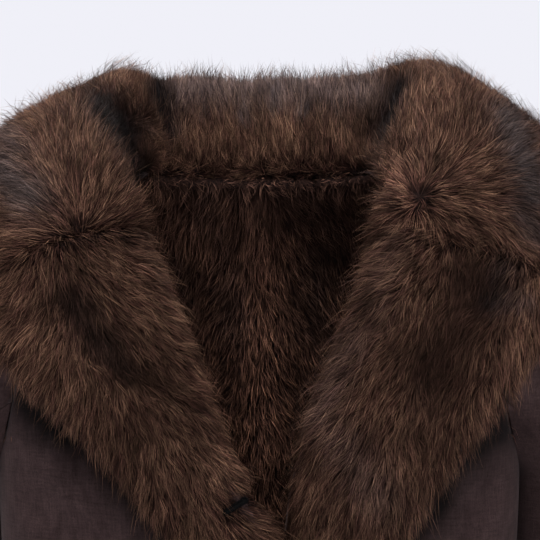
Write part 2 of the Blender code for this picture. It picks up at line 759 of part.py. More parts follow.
def make_button(name, z):
    """A round button, fastened on the right front at the centre line."""
    surface = front(-1)
    normal = outward(surface, 0.0, z)
    place = surface(0.0, z) + normal * (BUTTON_THICKNESS / 2 + BUTTON_LIFT)
    mesh = bpy.data.meshes.new(name)
    bm = bmesh.new()
    bmesh.ops.create_cone(
        bm, cap_ends=True, segments=24, radius1=BUTTON_RADIUS, radius2=BUTTON_RADIUS,
        depth=BUTTON_THICKNESS,
    )
    bm.to_mesh(mesh)
    bm.free()
    button = add(name, mesh, HORN)
    button.location = to_side(-1, place)
    button.rotation_mode = "QUATERNION"
    button.rotation_quaternion = Vector(to_side(-1, normal)).to_track_quat("Z", "Y")
    bevel = button.modifiers.new("rounded rim", "BEVEL")
    bevel.width = BUTTON_RIM
    bevel.segments = 2


def main():
    for old in list(bpy.data.objects):
        bpy.data.objects.remove(old)
    collection = bpy.data.collections.new(COLLECTION)
    bpy.context.scene.collection.children.link(collection)
    make_back()
    for side in (-1, 1):
        make_front(side)
        make_lapel(side)
        make_sleeve(side)
    make_collar()
    for name, z in BUTTON_HEIGHTS.items():
        make_button(name, z)


main()
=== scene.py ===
"""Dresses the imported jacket: combed fur, creased faux suede, sewing, buttons and a plain stage.

Metres, +Z up. The wearer faces -Y and has the left arm on +X. The fur grows from a backing that lies
on the suede, and its hairs are laid by tables of the directions in which the pile is brushed.
"""

import math
from collections import namedtuple
from itertools import product

import bmesh
import bpy
import numpy as np
from bpy.props import FloatProperty, FloatVectorProperty, IntProperty, PointerProperty
from mathutils import Matrix, Vector
from mathutils.bvhtree import BVHTree
from mathutils.kdtree import KDTree


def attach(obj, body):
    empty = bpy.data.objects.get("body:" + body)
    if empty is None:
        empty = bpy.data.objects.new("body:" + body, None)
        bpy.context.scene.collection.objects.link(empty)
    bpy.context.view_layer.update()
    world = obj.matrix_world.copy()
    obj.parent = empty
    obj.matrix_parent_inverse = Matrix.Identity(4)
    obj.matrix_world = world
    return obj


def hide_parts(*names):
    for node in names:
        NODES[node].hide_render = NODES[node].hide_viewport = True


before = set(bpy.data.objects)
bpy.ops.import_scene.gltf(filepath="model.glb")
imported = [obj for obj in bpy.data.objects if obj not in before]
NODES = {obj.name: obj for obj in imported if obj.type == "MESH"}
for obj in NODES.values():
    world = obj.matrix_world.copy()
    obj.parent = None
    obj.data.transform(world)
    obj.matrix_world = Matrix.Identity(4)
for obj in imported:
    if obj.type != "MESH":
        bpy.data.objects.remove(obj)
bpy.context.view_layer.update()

bl_info = {
    "name": "Faux Suede Jacket",
    "version": (1, 0, 0),
    "blender": (4, 5, 0),
    "location": "3D View > Sidebar > Jacket",
    "description": "Builds the cloth, fur, sewing and stage of a faux suede jacket",
    "category": "Add Mesh",
}

MM = 0.001

# The view of the stage's camera, which the tables of brushing and shade are read from
EYE = Vector((0.0095, -1.650, -0.085))
EYE_TO_LAPELS = 1.5
VIEW_WIDTH = 0.432  # what the view takes in at the lapels
SENSOR = 36.0  # millimetres, as the camera has it

# ---- what lies where

# The suede pieces, and how many times each is subdivided
SUEDE = {
    "back_panel": 2,
    "right_front": 2,
    "left_front": 2,
    "right_sleeve_top": 2,
    "right_sleeve_under": 2,
    "left_sleeve_top": 2,
    "left_sleeve_under": 2,
    "under_collar": 1,
    "right_lapel_under": 1,
    "left_lapel_under": 1,
}

# The flat cut of what shows of each sheet
Cut = namedtuple("Cut", "width length area rests_on")
CUTS = {
    "back_panel": Cut(0.58, 0.68, 0.325, ("back_lining",)),
    "right_front": Cut(0.36, 0.68, 0.180, ("right_front_lining",)),
    "left_front": Cut(0.36, 0.68, 0.180, ("left_front_lining",)),
    "right_sleeve_top": Cut(0.32, 0.62, 0.135, ("right_front",)),
    "right_sleeve_under": Cut(0.17, 0.46, 0.055, ("right_front",)),
    "left_sleeve_top": Cut(0.32, 0.62, 0.135, ("left_front",)),
    "left_sleeve_under": Cut(0.17, 0.46, 0.055, ("left_front",)),
    "under_collar": Cut(0.80, 0.24, 0.130, ("back_panel",)),
    "right_lapel_under": Cut(0.20, 0.36, 0.040, ("right_front",)),
    "left_lapel_under": Cut(0.20, 0.44, 0.050, ("left_front",)),
    "collar": Cut(0.80, 0.24, 0.140, ("under_collar",)),
    "right_lapel": Cut(0.26, 0.36, 0.055, ("right_lapel_under",)),
    "left_lapel": Cut(0.26, 0.44, 0.075, ("left_lapel_under",)),
    "back_lining": Cut(0.50, 0.62, 0.260, ("back_panel",)),
    "right_front_lining": Cut(0.24, 0.62, 0.095, ("right_front",)),
    "left_front_lining": Cut(0.24, 0.62, 0.095, ("left_front",)),
}

# Creases of the suede: a trough (below 0) or ridge from one point to another, in millimetres.
Crease = namedtuple("Crease", "x_a y_a z_a x_b y_b z_b width depth")
CREASES = {
    "right_front": [
        Crease(-224, -4, -215, -218, -4, -395, 24, 3.6),
        Crease(-196, -60, -262, -120, -125, -330, 17, -4.0),
        Crease(-200, -50, -300, -140, -118, -352, 14, 3.2),
        Crease(-60, -130, -470, -150, -105, -430, 19, -4.8),
        Crease(-70, -130, -520, -190, -70, -505, 22, 4.0),
        Crease(-30, -132, -585, -110, -122, -640, 20, -4.0),
        Crease(-170, -90, -560, -180, -85, -650, 19, 4.8),
        Crease(-110, -122, -250, -150, -105, -215, 15, -3.2),
    ],
    "left_front": [
        Crease(224, -4, -215, 218, -4, -395, 24, 3.6),
        Crease(196, -60, -258, 128, -125, -318, 19, -4.0),
        Crease(202, -50, -292, 150, -115, -344, 14, 3.2),
        Crease(50, -128, -476, 160, -100, -440, 20, -4.8),
        Crease(60, -128, -530, 186, -70, -498, 20, 4.0),
        Crease(40, -128, -600, 96, -122, -645, 17, -3.2),
        Crease(150, -100, -575, 172, -90, -650, 20, 4.8),
    ],
    "back_panel": [
        Crease(-224, 4, -215, -218, 4, -395, 24, 3.6),
        Crease(224, 4, -215, 218, 4, -395, 24, 3.6),
        Crease(-190, 60, -240, -90, 112, -300, 20, -4.8),
        Crease(190, 60, -232, 96, 112, -290, 19, -4.8),
        Crease(-150, 90, -400, 30, 104, -420, 22, -5.6),
        Crease(160, 85, -420, -10, 104, -446, 19, 4.8),
        Crease(-110, 105, -470, 90, 108, -492, 20, -4.0),
        Crease(-70, 112, -540, -90, 114, -650, 24, 5.6),
        Crease(60, 112, -560, 84, 114, -650, 20, -4.8),
        Crease(0, 116, -60, 4, 116, -190, 19, -2.4),
    ],
    "right_sleeve_top": [
        Crease(-262, -60, -330, -330, -58, -372, 13, -6.4),
        Crease(-270, -64, -376, -352, -50, -404, 12, 5.6),
        Crease(-280, -70, -418, -360, -60, -436, 11, -5.6),
        Crease(-230, -70, -170, -290, -62, -236, 15, -4.8),
        Crease(-250, 60, -190, -320, 50, -250, 15, -4.0),
        Crease(-300, 50, -380, -366, 24, -416, 14, -4.8),
        Crease(-318, -90, -560, -380, -70, -584, 11, -4.0),
    ],
    "left_sleeve_top": [
        Crease(256, -60, -322, 334, -56, -360, 14, -6.4),
        Crease(272, -64, -366, 350, -52, -398, 11, 5.6),
        Crease(278, -70, -410, 362, -58, -444, 12, -5.6),
        Crease(232, -68, -182, 284, -64, -250, 14, -4.8),
        Crease(246, 60, -200, 322, 50, -244, 14, -4.0),
        Crease(302, 50, -368, 362, 26, -410, 13, -4.8),
        Crease(322, -90, -548, 378, -72, -590, 12, -4.0),
    ],
    "right_sleeve_under": [
        Crease(-228, 6, -215, -222, 0, -395, 22, 8.5),
        Crease(-232, -40, -340, -240, 40, -352, 11, -5.6),
        Crease(-244, -50, -392, -256, 40, -398, 10, 4.8),
        Crease(-258, -50, -436, -268, 30, -444, 10, -4.8),
    ],
    "left_sleeve_under": [
        Crease(228, 6, -215, 222, 0, -395, 22, 8.5),
        Crease(230, -40, -332, 242, 40, -346, 11, -5.6),
        Crease(242, -50, -384, 258, 40, -394, 10, 4.8),
        Crease(256, -50, -430, 270, 30, -440, 10, -4.8),
    ],
}
DEEPEST_TROUGH = -0.0026  # the body's troughs stay clear of the lining behind them
CREASE_SQUEEZE = np.array([1.0, 0.5, 1.0])  # a crease reaches twice as far from front to back
CREASE_FADE = (5.0, 0.2)  # how fast a crease grows from its ends, and what it has of its depth there

# The middle of the left sleeve, from the shoulder to the cuff
SLEEVE_AXIS = [
    (0.206, 0.000, -0.140),
    (0.295, 0.008, -0.275),
    (0.284, 0.000, -0.395),
    (0.285, -0.044, -0.617),
]

# Each row of a comb: across, up (millimetres on the lapels, seen from the eye) and the way that
# the hair points there, in degrees from the wearer's left, anticlockwise.
COMBS = {
    "collar": [
        (-144, -33, 90), (-158, -41, 140), (-130, -39, 55), (-122, -51, 5), (-106, -41, 15),
        (-162, -55, -175), (-182, -61, -160), (-200, -79, -145), (-158, -69, -135), (-134, -65, -55),
        (-110, -59, -15), (-190, -29, 165), (-170, -5, 115), (-142, 3, 90), (-118, -9, 60),
        (-104, -13, 30), (-158, 43, 120), (-186, 27, 145), (-126, 63, 95), (-102, 63, 70),
        (-130, 35, 90), (-106, 19, 35), (-198, -9, 175), (-78, 51, 75), (-62, 11, 85),
        (-46, 51, 90), (2, 51, 90), (50, 51, 90), (90, 51, 95), (-30, 11, 95),
        (34, 11, 85), (82, 11, 85), (127, -5, 85), (114, -13, 145), (107, -29, 180),
        (110, -45, -150), (146, -13, 35), (154, -33, -20), (170, -49, -50), (138, -41, -60),
        (178, -13, 20), (162, 19, 65), (134, 27, 85), (114, 27, 115), (106, 11, 150),
        (146, 67, 85), (178, 43, 60), (206, 19, 25), (218, -21, -15), (202, -53, -60),
        (122, 59, 100),
    ],
    "right_lapel": [
        (-126, -79, -45), (-142, -81, -70), (-102, -77, -25), (-90, -101, -35), (-74, -133, -40),
        (-110, -117, -55), (-54, -173, -45), (-86, -149, -60), (-174, -109, -120), (-194, -117, -140),
        (-194, -145, -125), (-158, -141, -95), (-134, -165, -80), (-174, -173, -110), (-142, -205, -100),
        (-110, -205, -75), (-78, -205, -65), (-110, -237, -95), (-46, -213, -45), (-26, -229, -35),
        (-74, -261, -90), (-46, -261, -70), (-18, -261, -30), (-6, -285, -35), (-34, -289, -80),
        (-62, -289, -100),
    ],
    "left_lapel": [
        (114, -57, -140), (98, -77, -150), (146, -77, -115), (178, -85, -100), (82, -125, -140),
        (114, -125, -125), (146, -133, -120), (62, -173, -135), (98, -181, -125), (138, -189, -115),
        (42, -221, -135), (74, -229, -120), (114, -237, -110), (26, -269, -125), (58, -277, -115),
        (98, -277, -95), (138, -245, -85), (170, -213, -80), (194, -181, -85), (170, -149, -125),
        (194, -109, -150), (214, -97, -135), (218, -117, -110), (210, -149, -110), (222, -173, -80),
    ],
    "back_lining": [
        (34, -17, -55), (54, -13, -40), (62, -25, -70), (-62, -61, -115), (-70, -21, -110),
        (-22, -21, -110),
    ],
}

# Streaks of painted light and shade, and of other tones, in the fur and on the suede: from one place
# to another as across and up, how wide (millimetres), how much lighter or darker, and how ashen. On the
# fur they paint the shade of its folds and dips and the light on the collar and lining, among patches of
# other tone; on the suede they paint the shadow under the lapels' edges. The pile lies low where it is dark.
Shade = namedtuple("Shade", "across_a up_a across_b up_b radius light ash")
PAINTED_LIGHT_SHADE_AND_TONE = {
    # painted shadow: a dark band on the suede just under the right lapel's edge
    "right_front": [
        Shade(-222, -152, -160, -200, 29, -0.52, 0.0),
        Shade(-160, -200, -100, -252, 27, -0.52, 0.0),
        Shade(-100, -252, -66, -308, 24, -0.46, 0.0),
        Shade(-222, -158, -160, -204, 12, -0.50, 0.0),
        Shade(-160, -204, -104, -250, 11, -0.50, 0.0),
        Shade(-104, -250, -72, -304, 10, -0.45, 0.0),
    ],
    # painted shadow: a dark band on the suede just under the left lapel's edge
    "left_front": [
        Shade(232, -180, 192, -208, 26, -0.46, 0.0),
        Shade(192, -208, 138, -272, 25, -0.46, 0.0),
        Shade(138, -272, 118, -312, 22, -0.46, 0.0),
        Shade(228, -178, 190, -206, 11, -0.50, 0.0),
        Shade(190, -206, 138, -268, 10, -0.50, 0.0),
        Shade(138, -268, 116, -310, 10, -0.45, 0.0),
    ],
    "collar": [
        # painted light: the whole collar lighter, and the top of its back band lighter still, where the light
        # from above falls; that band's tips are also ashen
        Shade(-200, 0, 200, 0, 400, 0.20, 0.0),
        Shade(-62, 58, 90, 58, 17, 0.55, 0.55),
        Shade(-62, 6, 90, 6, 16, 0.22, 0.0),
        Shade(114, 50, 170, 55, 20, 0.12, 0.0),
        # painted shade: the dark inside of the fold where the collar rolls over on the right side
        Shade(-128, 50, -104, 26, 13, -1.75, 0.35),
        Shade(-104, 26, -95, -12, 9, -1.50, 0.3),
        Shade(-78, 62, -70, 26, 8, -1.30, 0.5),
        Shade(-86, 64, -85, 51, 5, -0.30, 0.3),
        Shade(-46, 64, -44, 37, 4, -0.35, 0.6),
        Shade(-30, 64, -29, 51, 3, -0.15, 0.7),
        Shade(-10, 65, -9, 33, 5, -0.12, 0.8),
        Shade(16, 64, 17, 41, 4, -0.30, 0.7),
        Shade(34, 65, 36, 37, 4, -0.10, 0.8),
        Shade(50, 64, 50, 48, 3, 0.15, 0.7),
        Shade(64, 61, 65, 40, 4, -0.35, 0.6),
        Shade(82, 65, 83, 47, 5, 0.10, 0.6),
        # painted shade: the dark inside of the same fold on the left side
        Shade(114, 64, 99, 29, 9, -1.35, 0.3),
        Shade(99, 29, 93, -3, 8, -1.00, 0.1),
        Shade(-206, -1, -182, -29, 16, -0.35, 0.7),
        Shade(-206, 35, -192, 11, 11, -0.05, 0.5),
        Shade(-174, 35, -158, 11, 14, 0.25, 0.0),
        Shade(-118, 69, -94, 64, 8, 0.30, 0.0),
        Shade(-158, -33, -126, -5, 13, 0.18, 0.0),
        Shade(-170, 55, -140, 10, 22, -0.16, 0.0),
        Shade(112, -14, 128, -34, 14, 0.35, 0.0),
        Shade(-139, -58, -146, -50, 6, -0.45, 0.0),
        Shade(-174, -65, -150, -61, 6, -0.30, 0.0),
        Shade(-120, -61, -94, -55, 6, -0.25, 0.0),
        Shade(138, 63, 170, 67, 10, 0.25, 0.0),
        Shade(112, -11, 123, -18, 7, 0.40, 0.0),
        Shade(134, -29, 150, -47, 6, -0.30, 0.0),
        Shade(158, 11, 170, -21, 16, -0.12, 0.0),
        Shade(198, 37, 220, -25, 13, -0.35, 0.8),
        Shade(210, -37, 224, -61, 10, -0.30, 0.5),
        Shade(178, -57, 198, -79, 7, -0.35, 0.0),
    ],
    "right_lapel": [
        # painted shade: the dark dip in the middle of the lapel
        Shade(-153, -106, -123, -147, 13, -0.85, 0.1),
        Shade(-123, -147, -107, -162, 10, -0.78, 0.1),
        Shade(-107, -163, -80, -175, 8, -0.55, 0.0),
        Shade(-139, -75, -149, -101, 7, -0.30, 0.0),
        Shade(-126, -69, -94, -63, 5, -0.30, 0.0),
        Shade(-190, -109, -182, -149, 14, 0.20, 0.0),
        Shade(-158, -151, -134, -181, 11, 0.12, 0.0),
        Shade(-110, -109, -78, -149, 14, 0.05, 0.0),
        Shade(-86, -185, -110, -221, 18, -0.22, 0.0),
        Shade(-50, -161, -34, -205, 11, 0.10, 0.0),
        Shade(-42, -221, -24, -245, 11, 0.25, 0.0),
        Shade(-54, -245, -34, -285, 11, 0.10, 0.0),
        Shade(-14, -245, 3, -269, 8, 0.10, 0.0),
        Shade(-26, -279, -9, -267, 6, -0.20, 0.0),
        Shade(10, -274, 22, -282, 5, -0.20, 0.0),
    ],
    "left_lapel": [
        # painted shade: the dark dip down the middle of the lapel, and a dark hole low down
        Shade(160, -66, 176, -105, 20, -0.40, 0.0),
        Shade(170, -105, 140, -160, 30, -0.50, 0.0),
        Shade(140, -160, 148, -205, 24, -0.26, 0.0),
        Shade(130, -223, 130, -224, 8, -0.85, 0.0),
        Shade(194, -89, 203, -79, 8, -0.30, 0.3),
        Shade(186, -109, 210, -109, 8, 0.10, 0.4),
        Shade(216, -109, 202, -157, 9, 0.55, 0.0),
        Shade(194, -165, 178, -197, 10, 0.40, 0.0),
        Shade(114, -53, 91, -133, 13, 0.05, 0.1),
        Shade(78, -141, 50, -205, 13, 0.10, 0.2),
        Shade(106, -85, 82, -109, 13, -0.10, 0.0),
        Shade(66, -221, 98, -269, 18, 0.10, 0.2),
        Shade(138, -221, 154, -245, 11, 0.10, 0.0),
        Shade(42, -269, 34, -293, 10, 0.15, 0.0),
        Shade(22, -273, 27, -293, 6, -0.50, 0.0),
    ],
    "back_lining": [
        # painted light: the lining lighter along its top and down its middle ridge
        Shade(-100, -30, 100, -30, 34, 0.50, 0.15),
        Shade(0, -41, 1, -69, 12, 0.30, 0.0),
        Shade(1, -69, 3, -157, 17, 1.30, 0.0),
        Shade(3, -157, 3, -245, 13, 0.85, 0.0),
        # darker and ashen down each side of the lining: painted shade, with an ashen tone
        Shade(-42, -33, -24, -133, 12, -0.30, 0.25),
        Shade(50, -37, 43, -133, 14, -0.30, 0.25),
        Shade(-69, -55, -50, -74, 10, 0.45, 0.0),
        Shade(-66, -79, -54, -133, 8, -0.35, 0.25),
        Shade(70, -41, 75, -101, 10, -0.35, 0.25),
        Shade(26, -16, 43, -21, 6, 0.30, 0.0),
        Shade(54, -18, 70, -26, 7, 0.30, 0.0),
        Shade(-24, -149, -14, -205, 6, -0.30, 0.0),
        Shade(34, -149, 22, -213, 8, -0.30, 0.0),
    ],
}

# The worked buttonhole near the foot of the right lapel: its two ends as across and up
HOLE_IN = "right_lapel"
HOLE_ENDS = ((-26.5, -278.6), (-8.9, -267.4))
HOLE_STEPS = (0.0, 0.005, 0.010, 0.015)  # where along a hair it is tested against the buttonhole
HOLE_BARE = (4.0, 2.0)  # millimetres: the hair is thin nearer than the first, fading over the second
HOLE_SHORT = (5.5, 3.0)  # the same for hair that is cropped because it would hide the buttonhole
HOLE_THINNING = 0.85
HOLE_SINK = 0.0055  # how deep in the pile it lies
HOLE_PAD = 0.0026
HOLE_HALF_WIDTH = 0.0012
EYE_RADIUS = 0.0019
EYE_TURN = 150  # degrees that the eye's arc goes round to each side
EYE_STEP = 15
SLIT_STEPS = 12
SLIT_UNDER = 0.0003  # the pad's face lies this much under the stitches
PURL_SIZE = (0.0019, 0.00080, 0.0010)
PURL_OUT = 0.35  # share of a stitch's length that it sits out from the slit's edge

# Rows of stitches: the cloths that a row goes round, a point and the axis of its plane, and the
# height that it keeps from the cloth's lowest edge.
Row = namedtuple("Row", "cloths x y axis_y above_edge")
ROWS = [
    Row(("back_panel", "right_front", "left_front"), 0.0, 0.0, 0.0, 0.022),
    Row(("right_sleeve_top", "right_sleeve_under"), -0.285, -0.040, -0.20, 0.030),
    Row(("left_sleeve_top", "left_sleeve_under"), 0.285, -0.040, -0.20, 0.030),
]
ROW_RAYS = 240
ROW_BREAK = 0.016  # two points further apart than this aren't joined
EDGE_ROW = (-0.335, -0.610)  # from where to where the front edge is stitched
EDGE_STEP = 0.006
EDGE_SEARCH = (0.080, -0.060, -0.001)  # across, where the free edge is looked for
EDGE_MARGIN = 0.007
ABOVE_CLOTH = 0.0001
SEAM_STITCH = (0.0008, 0.0006)  # width and height of a stitch of the rows

# A button's section from its back to its face, as shares of its radius and thickness
BUTTON_SECTION = [
    (0.0, -0.50), (0.80, -0.50), (0.95, -0.40), (1.0, -0.15), (1.0, 0.15), (0.96, 0.38),
    (0.88, 0.50), (0.79, 0.46), (0.70, 0.26), (0.60, 0.16), (0.0, 0.14),
]
BUTTON_TURNS = 64
HOLE_AT = 0.0027  # across and up from the button's middle
THREAD_HOLE = 0.0011
THREAD_HOLE_TURNS = 16
STRANDS = (-1, 0, 1)  # the threads of one bar, side by side
STRAND_SIZE = (HOLE_AT * 2 + 0.0012, 0.0007, 0.0007)
STRAND_APART = 0.00055
STRAND_TILT = 3  # degrees
STRAND_HEIGHT = (0.24, 0.03)  # shares of the thickness: where a strand lies, and the middle one's rise
STITCH_SECTION = [(0.0, -0.5), (0.44, -0.34), (0.44, 0.34), (0.0, 0.5)]
STITCH_TURNS = 6

# The fur's pieces: which backing each grows from, how many hairs, and the side it covers.
Fur = namedtuple("Fur", "piece backing hairs low_x high_x slot")
FURS = [
    Fur("collar_fur_right", "collar", 56000, -1.0, -0.065, "faux_fur"),
    Fur("collar_fur_back", "collar", 36000, -0.065, 0.065, "faux_fur"),
    Fur("collar_fur_left", "collar", 56000, 0.065, 1.0, "faux_fur"),
    Fur("right_lapel_fur", "right_lapel", 42000, -1.0, 1.0, "faux_fur"),
    Fur("left_lapel_fur", "left_lapel", 46000, -1.0, 1.0, "faux_fur"),
    Fur("back_lining_fur", "back_lining", 36000, -1.0, 1.0, "fur_lining"),
    Fur("right_front_lining_fur", "right_front_lining", 5000, -1.0, 1.0, "fur_lining"),
    Fur("left_front_lining_fur", "left_front_lining", 5000, -1.0, 1.0, "fur_lining"),
]
SUEDE_BEHIND = {
    "collar": ("under_collar",),
    "right_lapel": ("right_lapel_under", "right_front"),
    "left_lapel": ("left_lapel_under", "left_front"),
    "back_lining": ("back_panel",),
    "right_front_lining": ("right_front",),
    "left_front_lining": ("left_front",),
}
BACKING_LEVELS = {"collar": 2, "right_lapel": 2, "left_lapel": 2}
BACKING_DEPTH = 0.35  # share of the pile that the backing takes up
PILE_FROM = 0.0022  # the hair grows where the backing is further than this from the suede
PILE_SURE = 0.6  # share of that distance under which none grows
LEAST_RISE = 0.005
SHADE_RISE = 0.6  # how high in the pile the shade is taken
SHADE_RANGE = (-0.93, 1.6)
SHADE_AHEAD = 0.010  # the shade is taken from where the hair ends, not from its root
SHADE_BELOW = 0.5  # how much a dark place also shades the hair rooted in it
HOLLOW = 0.7  # how much lower the pile lies where its shade is darkest
COMB_REACH = 0.022  # how far from its place a row of a comb is felt
BASE_COMB = 0.02  # weight of the way that the cut gives, beside 1 for a row of a comb
PARTED = (0.25, 0.6)  # how far the ways must disagree before the pile parts, and the spread
WHORL_LIGHT = 0.45
WHORL = 0.6  # how much shorter the hair runs where it parts
PARTING = (0.030, 0.50)  # half the width of the back lining's parting, and how far it turns out
FRONT_SLANT = 0.2
THIN_PILE = {"collar": 0.68, "lapel": 0.75, "lining": 0.84}  # how much thinner it is where hidden
HAIR_POINTS = 5
HAIR_BEND = 0.55  # where along a hair its one bend is
BLADE_HALF = 0.1  # half the width of the blade before the nodes give it its own

# The rims of fur pieces: they meet at seams, and stop short of free edges that the hair hangs over
SEAM_BETWEEN = {
    "collar": ("right_lapel", "left_lapel", "back_lining", "right_front_lining", "left_front_lining"),
    "right_lapel": ("collar",),
    "left_lapel": ("collar",),
    "right_lapel_under": ("under_collar",),
    "left_lapel_under": ("under_collar",),
}
SEAM_NEAR = 0.009  # an edge closer than this to the next piece of fur is a seam
LININGS = ("back_lining", "right_front_lining", "left_front_lining")
NECK_LAP = {"collar": LININGS, **{lining: ("collar",) for lining in LININGS}}
LAP_NEAR = 0.0125  # rims closer than this come together over the neck seam
LAP_SHARE = 0.60
NECK_SEAM = (0.062, 0.000)  # y and z of the seam between collar and lining
NECK_SEAM_SIDES = 0.030  # how far forward of that it still counts
NECK_RUFFLE = (1.6, 0.0075)  # the ruffled strip's strength on the seam, and its half width
EDGE_INSET = 0.009
INSET_FADE = 0.050  # how far from the edge the cloth is still drawn in with it
LAPEL_INSET = 0.012  # the lapels' outer edges are drawn in by this much more, low down
LAPEL_INSET_FROM = -0.130
LAPEL_INSET_OVER = 0.06
OUTER_EDGE = 0.2  # an edge is the outer one if its way in points this far to the middle
ROLL_KEPT = 0.9  # share of the drawing in that the roll edges are spared, near the buttonhole
ROLL_KEPT_FROM = -0.215
ROLL_KEPT_OVER = 0.04
SOFT_RIM = 0.8  # crease of a backing's rim, under 1 so that it rounds a little
RIM_TURN = math.radians(60)
INSET_RIM_TURN = math.radians(50)
CORNER_TURN = math.radians(140)
FLAT_TURN = math.radians(40)
FLAT_SKEW = math.radians(60)

# How one hair differs from the next. A range is its least and its spread.
DRIFT_SCALE = 38.0  # patches that turn together, in turns of noise a metre
FINE_SCALE = 110.0
FINE_SHARE = 0.7
RUFFLE_TURN = 11.0
RUFFLE_SHORT = 0.40
GUARD_FROM = 0.94  # the luckiest hairs are the long guard hairs
GUARD_LIFT = 0.75
GUARD_REACH = 0.50
SWELL_SCALE = 26.0
SWELL = (0.50, 0.9)
LOCK_LIFT = (0.90, 0.30)
LIFT = (0.62, 0.45)
REACH = (0.60, 0.60)
CROP_LIFT = 0.55
CROP_REACH = 0.72
LEAN = (0.45, 0.55)  # how much of its run a hair makes evenly, and how much towards its tip
SIDE_BEND = 0.45
ROLL = 1.6  # radians that the blades roll about their length
TAPER = (1.15, 0.75)  # width at the root, and how much of it is gone at the tip
LEAST_THICK = 0.12
LINING_LOCK = 0.35  # the lining's locks are this much looser
SEED_STEP = 7
CELL_MARGIN = (0.42, 0.08, 0.84)  # of a hair's cell in the flat map: half its width, its foot, its height


# ---- sizes and colours that a user would change


def colour(name, description, value):
    return FloatVectorProperty(
        name=name, description=description, default=value, subtype="COLOR", size=3, min=0.0, max=1.0
    )


def length(name, description, value):
    return FloatProperty(name=name, description=description, default=value, unit="LENGTH", min=0.0)


def amount(name, description, value, low=0.0, high=1.0):
    return FloatProperty(name=name, description=description, default=value, min=low, max=high)


class FurSettings(bpy.types.PropertyGroup):
    run: length("Run", "How far a hair runs along the cloth", 0.0190)
    lining_run: length("Lining run", "How far a hair of the lining runs", 0.0145)
    hair_width: length("Hair width", "Width of a hair at its root", 0.00042)
    clump_size: length("Clump size", "Distance between the tufts", 0.0105)
    lock_size: length("Lock size", "Distance between the locks in a tuft", 0.0021)
    clump: amount("Clumping", "How far the tips lean to the middle of their tuft", 0.30)
    lock: amount("Locking", "How far the tips lean to the middle of their lock", 0.55)
    lock_turn: amount("Lock turn", "How far whole locks turn, in radians", 0.50, 0.0, 3.0)
    stray: amount("Stray", "How far single hairs turn from the brushed way, in radians", 0.16, 0.0, 3.0)
    swirl: amount("Swirl", "How far patches turn from the brushed way, in radians", 0.80, 0.0, 3.0)
    seed: IntProperty(name="Seed", description="Which fall of the hairs", default=11, min=0)
    root: colour("Root", "Colour of the fur at its root", (0.0079, 0.0050, 0.0050))
    middle: colour("Middle", "Colour of the fur half way up", (0.0405, 0.0172, 0.0128))
    tip: colour("Tip", "Colour of the lighter tips", (0.192, 0.108, 0.065))
    rose: colour("Rose", "Colour of the redder tips", (0.112, 0.049, 0.038))
    # painted shade: this colour and the next are those that the pile is darkened towards where the tables
    # paint the shade of its folds and dips; the next one where that shade is ashen
    deep: colour("Deep", "Colour of the pile in the hollows", (0.0180, 0.0082, 0.0062))
    painted_hollow_shade: colour("Hollow", "Colour of the deepest, ashen hollows", (0.0042, 0.0036, 0.0046))
    ash: colour("Ash", "Colour of the greyer patches", (0.099, 0.087, 0.091))
    lining_root: colour("Lining root", "Colour of the lining at its root", (0.0100, 0.0056, 0.0053))
    lining_middle: colour("Lining middle", "Colour of the lining half way up", (0.096, 0.0445, 0.0310))
    lining_tip: colour("Lining tip", "Colour of the lining's lighter tips", (0.218, 0.108, 0.062))
    lining_rose: colour("Lining rose", "Colour of the lining's redder tips", (0.152, 0.068, 0.049))


class SuedeSettings(bpy.types.PropertyGroup):
    dark: colour("Brushed down", "Colour where the nap lies away", (0.025, 0.0145, 0.0142))
    light: colour("Brushed up", "Colour where the nap stands", (0.058, 0.0350, 0.0336))
    grain: length("Grain", "Height of the nap", 0.00035)
    crease: amount("Creases", "How deep the creases are", 1.0, 0.0, 2.0)


class TrimSettings(bpy.types.PropertyGroup):
    thread: colour("Thread", "Colour of the buttonhole's thread", (0.0016, 0.0014, 0.0015))
    seam_thread: colour("Seam thread", "Colour of the thread of the hems", (0.016, 0.0095, 0.0092))
    horn: colour("Horn", "Darker colour of the buttons", (0.0060, 0.0036, 0.0028))
    horn_light: colour("Light horn", "Lighter colour of the buttons", (0.030, 0.0150, 0.0090))
    stitch: length("Stitch", "Length of a stitch", 0.0036)
    stitch_gap: length("Gap", "Distance between two stitches", 0.0014)
    purl: length("Purl", "Distance between the buttonhole's stitches", 0.00072)


class StageSettings(bpy.types.PropertyGroup):
    floor: colour("Floor", "Colour of the floor", (0.80, 0.80, 0.83))
    backdrop: colour("Backdrop", "Colour behind the jacket", (0.871, 0.871, 0.938))
    ambient: amount("Ambient", "How strongly the backdrop lights the jacket", 0.45)
    floor_height: FloatProperty(
        name="Floor height", description="Height of the floor", default=-0.680, unit="LENGTH"
    )


# ---- nodes


class Value:
    """A node's output. The arithmetic operators add the nodes that they need."""

    def __init__(self, tree, socket):
        self.tree = tree
        self.socket = socket

    def math(self, operation, *terms):
        return self.tree.node("ShaderNodeMath", {"operation": operation}, dict(enumerate(terms)))

    def __add__(self, other):
        return self.math("ADD", self, other)

    def __radd__(self, other):
        return self.math("ADD", other, self)

    def __sub__(self, other):
        return self.math("SUBTRACT", self, other)

    def __rsub__(self, other):
        return self.math("SUBTRACT", other, self)

    def __mul__(self, other):
        return self.math("MULTIPLY", self, other)

    def __rmul__(self, other):
        return self.math("MULTIPLY", other, self)

    def __rtruediv__(self, other):
        return self.math("DIVIDE", other, self)

    def __pow__(self, other):
        return self.math("POWER", self, other)

    def clamp(self, low, high):
        return self.math("MAXIMUM", self.math("MINIMUM", self, high), low)

    def fit(self, low, high):
        """0 at low, 1 at high and even between."""
        return ((self - low) * (1 / (high - low))).clamp(0.0, 1.0)


